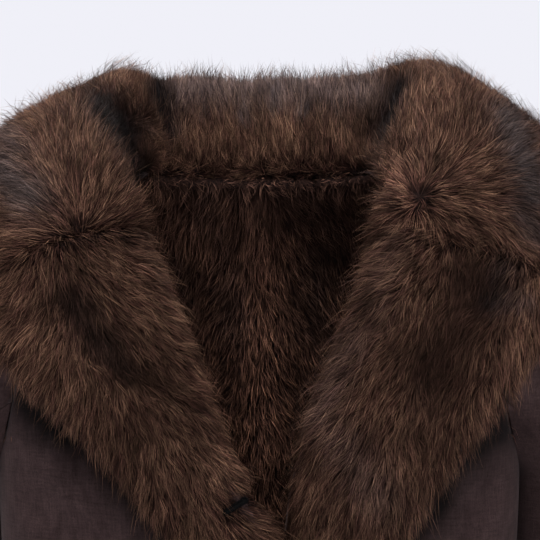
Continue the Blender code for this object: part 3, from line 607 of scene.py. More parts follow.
class Arrow(Value):
    """A node's output that is a vector."""

    def vector(self, operation, *terms):
        values = dict(enumerate(terms))
        return self.tree.node("ShaderNodeVectorMath", {"operation": operation}, values, kind=Arrow)

    def __add__(self, other):
        return self.vector("ADD", self, other)

    def __sub__(self, other):
        return self.vector("SUBTRACT", self, other)

    def __mul__(self, other):
        values = {"Vector": self, "Scale": other}
        return self.tree.node("ShaderNodeVectorMath", {"operation": "SCALE"}, values, "Vector", Arrow)

    def cross(self, other):
        return self.vector("CROSS_PRODUCT", self, other)

    def unit(self):
        return self.vector("NORMALIZE", self)

    def dot(self, other):
        values = {0: self, 1: other}
        return self.tree.node("ShaderNodeVectorMath", {"operation": "DOT_PRODUCT"}, values, "Value")

    def part(self, index):
        return self.tree.node("ShaderNodeSeparateXYZ", {}, {0: self}, index)


class Tree:
    """Adds nodes to a tree and links them."""

    def __init__(self, tree):
        self.tree = tree

    def socket(self, sockets, key):
        if isinstance(key, int):
            return sockets[key]
        return next(s for s in sockets if s.name == key and s.enabled)

    def add(self, node_type, settings, values):
        node = self.tree.nodes.new(node_type)
        for name, setting in settings.items():
            setattr(node, name, setting)
        for key, value in values.items():
            socket = self.socket(node.inputs, key)
            if isinstance(value, Value):
                self.tree.links.new(value.socket, socket)
            else:
                socket.default_value = value
        return node

    def node(self, node_type, settings=None, values=None, output=0, kind=Value):
        node = self.add(node_type, settings or {}, values or {})
        return kind(self, self.socket(node.outputs, output))

    def mix(self, share, first, second):
        values = {"Factor": share, "A": as_colour(first), "B": as_colour(second)}
        return self.node("ShaderNodeMix", {"data_type": "RGBA"}, values, "Result")

    def shade(self, first, amount):
        """A colour times a number."""
        return as_vector(self, first) * amount

    def noise(self, place, scale, detail=2.0, distortion=0.0):
        values = {"Vector": place, "Scale": scale, "Detail": detail, "Distortion": distortion}
        return self.node("ShaderNodeTexNoise", {"noise_dimensions": "3D"}, values, "Fac")

    def place(self):
        return self.node("ShaderNodeTexCoord", {}, {}, "Object", Arrow)

    def scaled(self, place, scale):
        """The place with its axes scaled, for a pattern that is longer one way."""
        return self.node("ShaderNodeMapping", {}, {"Vector": place, "Scale": scale}, "Vector", Arrow)

    def bump(self, height, strength, distance):
        values = {"Height": height, "Strength": strength, "Distance": distance}
        return self.node("ShaderNodeBump", {}, values, "Normal")


def as_colour(value):
    return value if isinstance(value, Value) else (*value, 1.0)


def as_vector(tree, value):
    if isinstance(value, Value):
        return Arrow(tree, value.socket)
    return tree.node("ShaderNodeCombineXYZ", {}, dict(enumerate(value)), kind=Arrow)


def new_material(name, constants):
    """A Principled material with its constant sockets set, and its tree."""
    material = bpy.data.materials.new(name)
    material.use_nodes = True
    shader = material.node_tree.nodes["Principled BSDF"]
    for socket, value in constants.items():
        shader.inputs[socket].default_value = value
    return material, Tree(material.node_tree), shader


def feed(tree, shader, **values):
    for name, value in values.items():
        tree.tree.links.new(value.socket, shader.inputs[name.replace("_", " ")])


def attribute(tree, name, kind=Value):
    output = "Vector" if kind is Arrow else "Fac"
    return tree.node("ShaderNodeAttribute", {"attribute_name": name}, {}, output, kind)


def fur_material(name, root, middle, tip, rose, ash, deep, painted_hollow_shade):
    """Hair that is dark at the root and lighter at the tip, each hair and patch a little different, with
    painted shade and painted light laid over it where the stored shade says.
    """
    constants = {
        "Roughness": 0.55,
        "Specular IOR Level": 0.06,
        "Specular Tint": (1.0, 0.78, 0.60, 1.0),
    }
    material, tree, shader = new_material(name, constants)
    along = attribute(tree, "along")
    luck, shade, lock, nap = (attribute(tree, n, Arrow) for n in ("luck", "shade", "lock", "nap"))
    patch = tree.noise(tree.place(), 30.0, 2.0)
    lower = tree.mix(along.fit(-0.15, 0.62), root, middle)
    gilt = (luck.part(1) * 0.7 + lock.part(0) * 0.6).fit(0.35, 1.05)
    pale = tree.mix((lock.part(0) * 0.8 + patch * 0.5).fit(0.35, 0.95), rose, tip)
    upper = tree.mix(along.fit(0.30, 0.95) * gilt, lower, pale)
    grey = tree.mix(shade.part(1) * 0.85, upper, tree.mix(along.fit(0.1, 0.9), root, ash))
    # painted shade: below 0 the stored shade turns the hair towards the deep colour, and towards the
    # near-black one where the shade is ashen
    low = tree.mix(shade.part(1).fit(0.0, 0.3), deep, painted_hollow_shade)
    grey = tree.mix((shade.part(0) * -1.0).clamp(0.0, 0.96), grey, low)
    strand = (luck.part(1) * 0.8 + 0.60) * (lock.part(1) ** 1.5 * 1.5 + 0.40)
    # painted light: above 0 the stored shade makes the hair lighter; the rest is each hair's and patch's own
    # tone
    light = strand * (patch * 1.7 + 0.15) * (shade.part(0).clamp(0.0, 2.0) + 1.0)
    normal = (nap + (luck - (0.5, 0.5, 0.5)) * 1.1).unit()
    feed(tree, shader, Base_Color=tree.shade(grey, light), Normal=normal)
    return material


def backing_material(name, root, middle):
    """The cloth and the short hair at the foot of the pile, darkened where the fur has painted shade."""
    material, tree, shader = new_material(name, {"Roughness": 0.95, "Specular IOR Level": 0.1})
    tuft = tree.noise(tree.place(), 420.0, 3.0)
    # painted shade: the stored shade darkens the backing where it is below 0
    light = attribute(tree, "shade", Arrow).part(0).clamp(-1.0, 0.0) + 1.0
    tone = tree.shade(tree.mix(tuft.fit(0.35, 0.75) * 0.45, root, middle), light)
    feed(tree, shader, Base_Color=tone, Normal=tree.bump(tuft, 0.8, 0.002))
    return material


def suede_material(settings):
    """Short brushed nap: fine grain, soft patches where the nap lies another way, and the painted shadow of
    the lapels' edges.
    """
    constants = {
        "Roughness": 0.92,
        "Specular IOR Level": 0.08,
        "Sheen Weight": 0.10,
        "Sheen Roughness": 0.4,
        "Sheen Tint": (0.85, 0.68, 0.68, 1.0),
    }
    material, tree, shader = new_material("faux suede", constants)
    place = tree.place()
    patch = tree.noise(place, 14.0, 3.0, 1.2).fit(0.34, 0.68)
    blotch = tree.noise(place, 48.0, 3.0, 0.8).fit(0.32, 0.70)
    streak = tree.noise(tree.scaled(place, (1.0, 1.0, 0.45)), 90.0, 3.0).fit(0.35, 0.7)
    stand = (patch * 0.45 + blotch * 0.35 + streak * 0.20).clamp(0.0, 1.0)
    fibre = tree.noise(place, 900.0, 2.0)
    across = tree.noise(tree.scaled(place, (0.12, 0.12, 1.0)), 560.0, 1.0)
    down = tree.noise(tree.scaled(place, (1.0, 1.0, 0.10)), 600.0, 1.0)
    weave = (across + down) * 0.5
    grain = fibre.fit(0.28, 0.72) * 0.50 + weave.fit(0.34, 0.66) * 0.46 + 0.52
    # painted shadow: the stored shade darkens the cloth under the lapels' edges
    light = grain * (attribute(tree, "shade", Arrow).part(0) + 1.0)
    tone = tree.shade(tree.mix(stand, settings.dark, settings.light), light)
    bump = tree.bump(fibre * 0.45 + weave * 0.9, 0.7, settings.grain)
    feed(tree, shader, Base_Color=tone, Normal=bump, Roughness=0.98 - stand * 0.12)
    return material


def plain_material(name, base, roughness, grain):
    """Thread: one colour that is a little uneven."""
    material, tree, shader = new_material(name, {"Specular IOR Level": 0.05})
    cloud = tree.noise(tree.place(), grain, 3.0)
    tone = tree.shade(base, cloud * 0.7 + 0.65)
    feed(tree, shader, Base_Color=tone, Roughness=cloud * 0.2 + (roughness - 0.1))
    return material


def horn_material(settings):
    """Polished horn: dark, with lighter streaks that run through it."""
    material, tree, shader = new_material("button horn", {"Specular IOR Level": 0.35})
    place = tree.place()
    streak = tree.noise(tree.scaled(place, (1.0, 1.0, 3.5)), 70.0, 4.0, 2.0)
    scratch = tree.noise(place, 900.0, 2.0)
    tone = tree.mix(streak.fit(0.42, 0.72), settings.horn, settings.horn_light)
    bump = tree.bump(scratch, 0.25, 0.0002)
    feed(tree, shader, Base_Color=tone, Roughness=scratch * 0.25 + 0.32, Normal=bump)
    return material


# ---- meshes


def link(piece):
    bpy.context.scene.collection.objects.link(piece)
    return piece


def solid_tree(*names):
    """A tree of the triangles of frame solids, for finding the nearest point."""
    points, faces = [], []
    for name in names:
        mesh = NODES[name].data
        mesh.calc_loop_triangles()
        start = len(points)
        points += [v.co[:] for v in mesh.vertices]
        faces += [[start + i for i in t.vertices] for t in mesh.loop_triangles]
    return BVHTree.FromPolygons(points, faces)


def mesh_tree(mesh):
    mesh.calc_loop_triangles()
    points = [v.co[:] for v in mesh.vertices]
    return BVHTree.FromPolygons(points, [t.vertices[:] for t in mesh.loop_triangles])


def read_solid(name):
    """A frame solid as four-sided faces."""
    bm = bmesh.new()
    bm.from_mesh(NODES[name].data)
    bmesh.ops.remove_doubles(bm, verts=bm.verts, dist=1e-5)
    bmesh.ops.join_triangles(
        bm, faces=bm.faces, angle_face_threshold=FLAT_TURN, angle_shape_threshold=FLAT_SKEW
    )
    return bm


def turned_edges(bm, turn):
    return [e for e in bm.edges if len(e.link_faces) == 2 and e.calc_face_angle(0.0) > turn]


def mark_rim(bm, sharp):
    """Creases the edges between a panel's face and its rim, and the corners of the cut."""
    edge_crease = bm.edges.layers.float.new("crease_edge")
    vert_crease = bm.verts.layers.float.new("crease_vert")
    rim = turned_edges(bm, RIM_TURN)
    for edge in rim:
        edge[edge_crease] = sharp
    around = {}
    for edge in rim:
        for vert in edge.verts:
            around.setdefault(vert, []).append(edge.other_vert(vert).co - vert.co)
    for vert, ways in around.items():
        if len(ways) != 2 or ways[0].angle(ways[1], 0.0) < CORNER_TURN:
            vert[vert_crease] = sharp


def as_object(bm, name):
    mesh = bpy.data.meshes.new(name)
    bm.to_mesh(mesh)
    bm.free()
    return link(bpy.data.objects.new(name, mesh))


def coat(piece, material):
    piece.data.materials.clear()
    piece.data.materials.append(material)


def finished(bm, name, levels):
    """The mesh with its subdivision applied, as a new object."""
    piece = as_object(bm, name)
    rounding = piece.modifiers.new("rounding", "SUBSURF")
    rounding.levels = levels
    rounding.render_levels = levels
    apply_modifiers(piece)
    return piece


def evaluated(piece):
    depsgraph = bpy.context.evaluated_depsgraph_get()
    return bpy.data.meshes.new_from_object(piece.evaluated_get(depsgraph), depsgraph=depsgraph)


def apply_modifiers(piece):
    mesh = evaluated(piece)
    piece.modifiers.clear()
    old = piece.data
    piece.data = mesh
    bpy.data.meshes.remove(old)
    mesh.shade_smooth()


def read(items, field, width=1, kind=np.float32):
    """One field of all the items of a mesh, as an array."""
    values = np.empty(len(items) * width, kind)
    items.foreach_get(field, values)
    return values.reshape(-1, width) if width > 1 else values


def points_of(mesh):
    return read(mesh.vertices, "co", 3).astype(float)


def normals_of(mesh):
    return read(mesh.vertex_normals, "vector", 3).astype(float)


def set_points(mesh, points):
    mesh.vertices.foreach_set("co", points.astype(np.float32).ravel())
    mesh.update()


def unit(vectors):
    return vectors / np.maximum(np.linalg.norm(vectors, axis=-1, keepdims=True), 1e-12)


def smooth(t):
    t = np.clip(t, 0.0, 1.0)
    return t * t * (3 - 2 * t)


def store(mesh, name, values):
    kind, field = ("FLOAT_VECTOR", "vector") if values.ndim == 2 else ("FLOAT", "value")
    layer = mesh.attributes.new(name, kind, "POINT")
    layer.data.foreach_set(field, values.astype(np.float32).ravel())


def to_line(points, start, end):
    """Distance of points to the line between two points, and how far along it they are."""
    start, end = np.array(start), np.array(end)
    run = end - start
    share = np.clip((points - start) @ run / max(run @ run, 1e-12), 0, 1)
    return np.linalg.norm(points - start - share[:, None] * run, axis=1), share


def declare(piece, node, slot, hairs=()):
    cut = CUTS[node]
    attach(piece, "root")
    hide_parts(node)
    list(cut.rests_on)
    list(hairs)


# ---- suede


def away_from_axis(name, points):
    """Unit vectors that point out of the sleeve or out of the body."""
    if "sleeve" not in name:
        return unit(points * np.array([1.0, 1.0, 0.0]))
    side = -1.0 if name.startswith("right") else 1.0
    axis = np.array(SLEEVE_AXIS) * np.array([side, 1.0, 1.0])
    order = axis[::-1]
    centre = np.stack([np.interp(points[:, 2], order[:, 2], order[:, k]) for k in (0, 1)], axis=1)
    away = points.copy()
    away[:, :2] -= centre
    away[:, 2] = 0.0
    return unit(away)


def crease_cloth(piece, name, strength):
    """Moves the cloth in at its troughs and out at its ridges, both faces alike."""
    mesh = piece.data
    points = points_of(mesh)
    normals = normals_of(mesh)
    away = away_from_axis(name, points)
    facing = np.sum(normals * away, axis=1)
    outward = unit(normals * np.sign(facing)[:, None] + away * 0.25)
    height = np.zeros(len(points))
    for crease in CREASES.get(name, ()):
        start, end = np.array([crease[0:3], crease[3:6]]) * MM * CREASE_SQUEEZE
        distance, share = to_line(points * CREASE_SQUEEZE, start, end)
        ends = smooth(np.minimum(share, 1 - share) * CREASE_FADE[0] + CREASE_FADE[1])
        height += crease.depth * MM * np.exp(-((distance / (crease.width * MM)) ** 2)) * ends
    if "sleeve" not in name:
        height = np.maximum(height, DEEPEST_TROUGH)
    set_points(mesh, points + outward * height[:, None] * strength)


class JACKET_OT_suede(bpy.types.Operator):
    """Makes the faux suede panels, sleeves and undersides"""

    bl_idname = "jacket.suede"
    bl_label = "Suede"

    def execute(self, context):
        settings = context.scene.jacket_suede
        material = suede_material(settings)
        for node, levels in SUEDE.items():
            bm = read_solid(node)
            mark_rim(bm, 1.0)
            inset_edge(node, bm, 0.0)
            piece = finished(bm, node + "_cloth", levels)
            crease_cloth(piece, node, settings.crease)
            # the stored shade paints the shadow under the lapels' edges on the fronts
            store(piece.data, "shade", painted_light_shade_and_tone(node, points_of(piece.data)))
            coat(piece, material)
            declare(piece, node, "faux_suede")
        return {"FINISHED"}


# ---- fur


def seen_point(tree, across, up):
    """Where the sight line through a place on the lapels meets a surface."""
    there = Vector((across * MM, EYE.y + EYE_TO_LAPELS, up * MM))
    return tree.ray_cast(EYE, (there - EYE).normalized())[0]


def base_comb(node, points, normals):
    """The way the pile runs by its cut: up the stand and down the fall, or down the linings."""
    if node == "collar":
        along = unit(np.stack([points[:, 1] + 0.02, -points[:, 0], np.zeros(len(points))], axis=1))
        return np.cross(along, normals)
    if node == "back_lining":
        out = np.clip(points[:, 0] / PARTING[0], -1, 1) * PARTING[1]
        return np.stack([out, np.zeros(len(points)), -np.ones(len(points))], axis=1)
    side = -1.0 if node.startswith("right") else 1.0
    return np.broadcast_to(np.array([FRONT_SLANT * side, 0.0, -1.0]), points.shape)


def comb(node, tree, points, normals):
    """Directions in which the pile is brushed, along the surface, and how far it parts there."""
    ways = unit(base_comb(node, points, normals)) * BASE_COMB
    total = np.full(len(points), BASE_COMB)
    for across, up, degrees in COMBS.get(node, ()):
        spot = seen_point(tree, across, up)
        if spot is None:
            continue
        turn = math.radians(degrees)
        way = np.array([math.cos(turn), 0.0, math.sin(turn)])
        distance = np.linalg.norm(points - np.array(spot), axis=1)
        weight = np.exp(-((distance / COMB_REACH) ** 2))
        ways = ways + way * weight[:, None]
        total += weight
    ways = ways - normals * np.sum(ways * normals, axis=1, keepdims=True)
    parted = 1 - np.linalg.norm(ways, axis=1) / total
    return unit(ways), smooth((parted - PARTED[0]) / PARTED[1])


def seen_from_eye(points):
    """Where points show: across and up, in millimetres on the lapels."""
    eye = np.array(EYE)
    away = EYE_TO_LAPELS / np.maximum(points[:, 1] - eye[1], 0.1)
    shown = (points - eye) * away[:, None] + eye
    return shown[:, [0, 2]] / MM


def painted_light_shade_and_tone(node, points):
    """How much lighter or darker, and how much greyer, the fur or cloth is at each point: painted light and
    shade, and other tones.
    """
    values = np.zeros((len(points), 3))
    shown = seen_from_eye(points)
    for shade in PAINTED_LIGHT_SHADE_AND_TONE.get(node, ()):
        distance, _ = to_line(shown, (shade.across_a, shade.up_a), (shade.across_b, shade.up_b))
        share = np.exp(-((distance / shade.radius) ** 2))
        values[:, 0] += shade.light * share
        values[:, 1] = np.maximum(values[:, 1], shade.ash * share)
    values[:, 0] = np.clip(values[:, 0], *SHADE_RANGE)
    return values


def thickness(node, points, normals):
    """How thickly the hair stands: less so where it is hidden, as inside and behind the neck."""
    if node == "collar":
        hidden = smooth((points[:, 1] - 0.075) / 0.02) * smooth((normals[:, 1] - 0.1) / 0.4)
        return 1.0 - THIN_PILE["collar"] * hidden
    if node in LININGS:
        across = smooth((0.150 - np.abs(points[:, 0])) / 0.03)
        shown = smooth((points[:, 2] + 0.42) / 0.06) * across
        return 1.0 - THIN_PILE["lining"] + THIN_PILE["lining"] * shown * (node == "back_lining")
    return 1.0 - THIN_PILE["lapel"] + THIN_PILE["lapel"] * smooth(-normals[:, 1] / 0.3)


def seam_laps(node, bm):
    """Steps that bring the rims of collar and lining together over the neck seam."""
    if node not in NECK_LAP:
        return {}
    beside = solid_tree(*NECK_LAP[node])
    laps = {}
    for vert in bm.verts:
        near, _, _, gap = beside.find_nearest(vert.co)
        if gap < LAP_NEAR:
            laps[vert] = (near - vert.co) * LAP_SHARE
    return laps


def inset_edge(node, bm, least):
    """Draws the free edges in along the cloth, because the hair hangs over them."""
    if node not in SEAM_BETWEEN:
        return
    beside = solid_tree(*SEAM_BETWEEN[node])
    on_rim = {vert for edge in turned_edges(bm, INSET_RIM_TURN) for vert in edge.verts}
    steps = {}
    for vert in on_rim:
        inner = [e.other_vert(vert) for e in vert.link_edges if e.other_vert(vert) not in on_rim]
        if not inner or beside.find_nearest(vert.co)[3] < SEAM_NEAR:
            continue
        step = min((v.co - vert.co for v in inner), key=lambda s: s.length).normalized()
        further = outer_lapel(node, vert.co, step)
        low_down = float(smooth((ROLL_KEPT_FROM - vert.co.z) / ROLL_KEPT_OVER))
        steps[vert] = step * (further + least * (1.0 if further else 1.0 - ROLL_KEPT * low_down))
    spots = [(vert.co.copy(), step) for vert, step in steps.items()]
    near = KDTree(len(spots))
    for index, (spot, _) in enumerate(spots):
        near.insert(spot, index)
    near.balance()
    moves = {}
    for vert in bm.verts:
        _, index, distance = near.find(vert.co)
        share = 1 - distance / INSET_FADE
        if share > 0 and (vert in steps or vert not in on_rim):
            moves[vert] = spots[index][1] * share
    for vert, move in moves.items():
        vert.co += move


def outer_lapel(node, spot, inward):
    """How much further the lapel's outer edge is drawn in, low down."""
    if "lapel" not in node:
        return 0.0
    side = -1.0 if node.startswith("right") else 1.0
    low_down = float(smooth((LAPEL_INSET_FROM - spot.z) / LAPEL_INSET_OVER))
    return LAPEL_INSET * low_down * (-inward.x * side > OUTER_EDGE)


def make_backing(node):
    """The fur's cloth, laid close to the suede, with the way its hair grows stored on it."""
    behind = solid_tree(*SUEDE_BEHIND[node])
    bm = read_solid(node)
    mark_rim(bm, SOFT_RIM)
    inset_edge(node, bm, EDGE_INSET)
    laps = seam_laps(node, bm)
    for vert in bm.verts:
        near, _, _, depth = behind.find_nearest(vert.co)
        if depth > PILE_FROM:
            vert.co = near + (vert.co - near) * BACKING_DEPTH
    for vert, step in laps.items():
        vert.co += step
    bmesh.ops.recalc_face_normals(bm, faces=bm.faces)
    piece = finished(bm, node + "_backing", BACKING_LEVELS.get(node, 1))
    mesh = piece.data
    points, normals = points_of(mesh), normals_of(mesh)
    near = [behind.find_nearest(Vector(p)) for p in points]
    depth = np.array([n[3] for n in near])
    outward = np.array([np.array(n[0]) for n in near])
    faces_out = np.sum((points - outward) * normals, axis=1) > -0.3 * depth
    sure = PILE_FROM * PILE_SURE
    grows = smooth((depth - sure) / (PILE_FROM * (1 - PILE_SURE))) * faces_out
    rise = np.maximum(depth * (1 - BACKING_DEPTH) / BACKING_DEPTH, LEAST_RISE)
    ways, parted = comb(node, mesh_tree(mesh), points, normals)
    # painted light and shade and the other tones of the tables, taken where each hair ends; painted shade at
    # its root darkens it as well, and the hair is lighter where it parts
    tone = painted_light_shade_and_tone(node, points + ways * SHADE_AHEAD + normals * rise[:, None] * SHADE_RISE)
    under = painted_light_shade_and_tone(node, points)
    tone[:, 0] += np.minimum(under[:, 0], 0) * SHADE_BELOW + parted * WHORL_LIGHT
    tone[:, 0] = np.clip(tone[:, 0], *SHADE_RANGE)
    thin, short = 1.0, np.zeros(len(points))
    if node == HOLE_IN:
        thin, short = round_buttonhole(points, ways)
    store(mesh, "thick", grows * thickness(node, points, normals) * thin)
    store(mesh, "short", short)
    store(mesh, "rise", rise * (1 + HOLLOW * np.clip(tone[:, 0], -1, 0)))
    store(mesh, "comb", ways)
    store(mesh, "ruffle", np.maximum(near_neck_seam(points), parted * WHORL))
    store(mesh, "shade", tone)
    return piece


def round_buttonhole(points, ways):
    """How thickly the hair stands near the buttonhole, and how short it is where it would hide it."""
    reach = [to_line(seen_from_eye(points + ways * step), *HOLE_ENDS)[0] for step in HOLE_STEPS]
    thin = 1 - HOLE_THINNING * smooth((HOLE_BARE[0] - reach[0]) / HOLE_BARE[1])
    return thin, smooth((HOLE_SHORT[0] - np.min(reach, axis=0)) / HOLE_SHORT[1])


def near_neck_seam(points):
    """1 along the seam of collar and lining, where the hair parts and lies every way."""
    y, z = NECK_SEAM
    distance = np.hypot(points[:, 2] - z, np.minimum(points[:, 1] - y + NECK_SEAM_SIDES, 0.0))
    return smooth(NECK_RUFFLE[0] - distance / NECK_RUFFLE[1])


def hair_blade():
    """A flat hair with a pointed tip: how far along it and to which side each point is."""
    along = [0.0, 0.0, HAIR_BEND, HAIR_BEND, 1.0]
    side = [-1.0, 1.0, -1.0, 1.0, 0.0]
    mesh = bpy.data.meshes.new("hair blade")
    faces = [(0, 1, 3, 2), (2, 3, 4)]
    mesh.from_pydata([(s * BLADE_HALF, 0.0, a) for s, a in zip(side, along)], [], faces)
    store(mesh, "along", np.array(along))
    store(mesh, "side", np.array(side))
    return link(bpy.data.objects.new("hair blade", mesh))


FUR_INPUTS = {
    **dict.fromkeys(
        (
            "Density", "Low", "High", "Run", "Hair width", "Clump size", "Lock size", "Clump", "Lock",
            "Lock turn", "Stray", "Swirl",
        ),
        "NodeSocketFloat",
    ),
    "Seed": "NodeSocketInt",
    "Blade": "NodeSocketObject",
    "Material": "NodeSocketMaterial",
}


def group(name, inputs):
    """A Geometry Nodes tree with named inputs, and a function that reads them."""
    nodes = bpy.data.node_groups.new(name, "GeometryNodeTree")
    nodes.interface.new_socket(name="Geometry", in_out="INPUT", socket_type="NodeSocketGeometry")
    for label, socket_type in inputs.items():
        nodes.interface.new_socket(name=label, in_out="INPUT", socket_type=socket_type)
    nodes.interface.new_socket(name="Geometry", in_out="OUTPUT", socket_type="NodeSocketGeometry")
    tree = Tree(nodes)
    entry = nodes.nodes.new("NodeGroupInput")
    return nodes, tree, lambda label: Value(tree, entry.outputs[label])


def give_out(nodes, tree, geometry, material):
    """Ends a tree: sets the material and gives the geometry out."""
    geometry = tree.node("GeometryNodeSetMaterial", {}, {"Geometry": geometry, "Material": material})
    end = nodes.nodes.new("NodeGroupOutput")
    nodes.links.new(geometry.socket, end.inputs[0])
    return nodes


def keep(tree, geometry, name, value):
    """Stores a vector on the points."""
    settings = {"data_type": "FLOAT_VECTOR", "domain": "POINT"}
    values = {"Geometry": geometry, "Name": name, "Value": value}
    return tree.node("GeometryNodeStoreNamedAttribute", settings, values)


def named(tree, name, kind=Value):
    settings = {"data_type": "FLOAT_VECTOR" if kind is Arrow else "FLOAT"}
    return tree.node("GeometryNodeInputNamedAttribute", settings, {"Name": name}, "Attribute", kind)


def luck_of(tree, seed):
    return tree.node("FunctionNodeRandomValue", {"data_type": "FLOAT_VECTOR"}, {"Seed": seed}, 0, Arrow)


def cells(tree, root, size, output):
    """The tufts that roots fall in: three random numbers of each, or its middle."""
    settings = {"voronoi_dimensions": "3D", "feature": "F1"}
    values = {"Vector": root, "Scale": 1.0 / size, "Randomness": 1.0}
    return tree.node("ShaderNodeTexVoronoi", settings, values, output, Arrow)


def tuft_pull(tree, root, nap, size, strength):
    """From a root to the middle of its tuft, along the surface."""
    toward = cells(tree, root, size, "Position") - root
    return (toward - nap * toward.dot(nap)) * strength


def scatter_hairs(tree, given):
    """Blades standing on the backing, each with what it needs to know stored on it."""
    place = tree.node("GeometryNodeInputPosition", {}, {}, 0, Arrow)
    x = place.part(0)
    inside = x.math("GREATER_THAN", x, given("Low")) * x.math("LESS_THAN", x, given("High"))
    density = given("Density") * named(tree, "thick") * inside
    scatter = tree.add(
        "GeometryNodeDistributePointsOnFaces", {"distribute_method": "RANDOM"},
        {"Mesh": given("Geometry"), "Density": density, "Seed": given("Seed")},
    )
    points = Value(tree, scatter.outputs["Points"])
    points = keep(tree, points, "nap", Arrow(tree, scatter.outputs["Normal"]))
    points = keep(tree, points, "root", place)
    points = keep(tree, points, "luck", luck_of(tree, given("Seed")))
    points = keep(tree, points, "turn", luck_of(tree, given("Seed") + 1.0))
    points = keep(tree, points, "lock", cells(tree, place, given("Lock size"), "Color"))
    blade = tree.node("GeometryNodeObjectInfo", {}, {"Object": given("Blade")}, "Geometry")
    stood = tree.node("GeometryNodeInstanceOnPoints", {}, {"Points": points, "Instance": blade})
    return tree.node("GeometryNodeRealizeInstances", {}, {"Geometry": stood})


def fur_nodes():
    """Scatters roots on the backing, stands a blade on each and lays it along the brushed way."""
    nodes, tree, given = group("fur", FUR_INPUTS)
    hair = scatter_hairs(tree, given)
    numbers = (named(tree, n) for n in ("along", "side", "rise", "ruffle", "short", "thick"))
    along, side, rise, ruffle, cropped, thick = numbers
    arrows = (named(tree, n, Arrow) for n in ("nap", "root", "comb", "luck", "turn", "lock"))
    nap, root, way, luck, turn, lock = arrows

    drift = tree.noise(root, DRIFT_SCALE, 2.0) - 0.5
    fine = tree.noise(root, FINE_SCALE, 1.0) - 0.5
    angle = (drift + fine * FINE_SHARE) * (given("Swirl") * 2.0) + (lock.part(2) - 0.5) * given("Lock turn")
    angle = angle + (turn.part(0) - 0.5) * (given("Stray") * 2.0) + fine * ruffle * RUFFLE_TURN
    level = (way - nap * way.dot(nap)).unit()
    level = level * angle.math("COSINE", angle) + nap.cross(level) * angle.math("SINE", angle)
    beside = nap.cross(level)

    guard = turn.math("GREATER_THAN", luck.part(0), GUARD_FROM)
    swell = tree.noise(root, SWELL_SCALE, 1.0) * SWELL[1] + SWELL[0]
    swell = swell * (lock.part(0) * LOCK_LIFT[1] + LOCK_LIFT[0])
    lift = rise * swell * (1.0 - cropped * CROP_LIFT)
    lift = lift * (turn.part(1) * LIFT[1] + LIFT[0] + guard * GUARD_LIFT)
    reach = given("Run") * (1.0 - cropped * CROP_REACH)
    reach = reach * (turn.part(2) * REACH[1] + REACH[0] + guard * GUARD_REACH) * (1.0 - ruffle * RUFFLE_SHORT)

    up = nap * (lift * (along * 2.0 - along * along))
    out = level * (reach * (along * LEAN[0] + along * along * LEAN[1]))
    bend = beside * (reach * (along * along * (lock.part(1) - 0.5)) * SIDE_BEND)
    pull = tuft_pull(tree, root, nap, given("Clump size"), given("Clump"))
    pull = pull + tuft_pull(tree, root, nap, given("Lock size"), given("Lock"))
    spine = root + up + out + bend + pull * (along * along)
    roll = (luck.part(2) - 0.5) * ROLL
    flat = beside * roll.math("COSINE", roll) + nap * roll.math("SINE", roll)
    half = given("Hair width") * (TAPER[0] - along * TAPER[1]) * side * 0.5
    thin = thick.math("MAXIMUM", thick, LEAST_THICK) ** -0.5
    spot = spine + flat * (half * thin)
    hair = tree.node("GeometryNodeSetPosition", {}, {"Geometry": hair, "Position": spot})
    return give_out(nodes, tree, hair, given("Material"))


def set_inputs(modifier, values):
    """Sets a Geometry Nodes modifier's inputs, found by the socket's identifier."""
    for item in modifier.node_group.interface.items_tree:
        if item.in_out == "INPUT" and item.name in values:
            modifier[item.identifier] = values[item.name]


def weighed_area(mesh, low, high):
    """Area of the backing between two planes, times how thickly its hair stands."""
    thick = read(mesh.attributes["thick"].data, "value")
    total = 0.0
    for face in mesh.polygons:
        if low < face.center.x < high:
            total += face.area * float(np.mean(thick[list(face.vertices)]))
    return total


def grow(fur, backing, nodes, blade, settings, material, seed):
    """The hairs of one piece of fur, as one plain mesh."""
    hair = link(bpy.data.objects.new(fur.piece, backing.data.copy()))
    modifier = hair.modifiers.new("fur", "NODES")
    modifier.node_group = nodes
    share = 1.0
    lining = fur.slot == "fur_lining"
    set_inputs(modifier, {
        "Density": fur.hairs * share / weighed_area(backing.data, fur.low_x, fur.high_x),
        "Low": fur.low_x,
        "High": fur.high_x,
        "Run": settings.lining_run if lining else settings.run,
        "Hair width": settings.hair_width / math.sqrt(share),
        "Clump size": settings.clump_size,
        "Lock size": settings.lock_size,
        "Clump": settings.clump,
        "Lock": settings.lock * (LINING_LOCK if lining else 1.0),
        "Lock turn": settings.lock_turn,
        "Stray": settings.stray,
        "Swirl": settings.swirl,
        "Seed": seed,
        "Blade": blade,
        "Material": material,
    })
    mesh = evaluated(hair)
    hair.modifiers.clear()
    hair.data = mesh
    lay_out(mesh)
    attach(hair, "root")
    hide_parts(fur.backing)
    return hair


def lay_out(mesh):
    """A flat map with a small cell of its own for each hair."""
    half, foot, height = CELL_MARGIN
    count = len(mesh.vertices) // HAIR_POINTS
    across = math.ceil(math.sqrt(count))
    corner = read(mesh.loops, "vertex_index", kind=np.int32)
    along, side = (read(mesh.attributes[name].data, "value")[corner] for name in ("along", "side"))
    hair = corner // HAIR_POINTS
    u = (hair % across + 0.5 + side * half) / across
    v = (hair // across + foot + along * height) / across
    layer = mesh.uv_layers.new(name="OFBake")
    layer.data.foreach_set("uv", np.stack([u, v], axis=1).astype(np.float32).ravel())


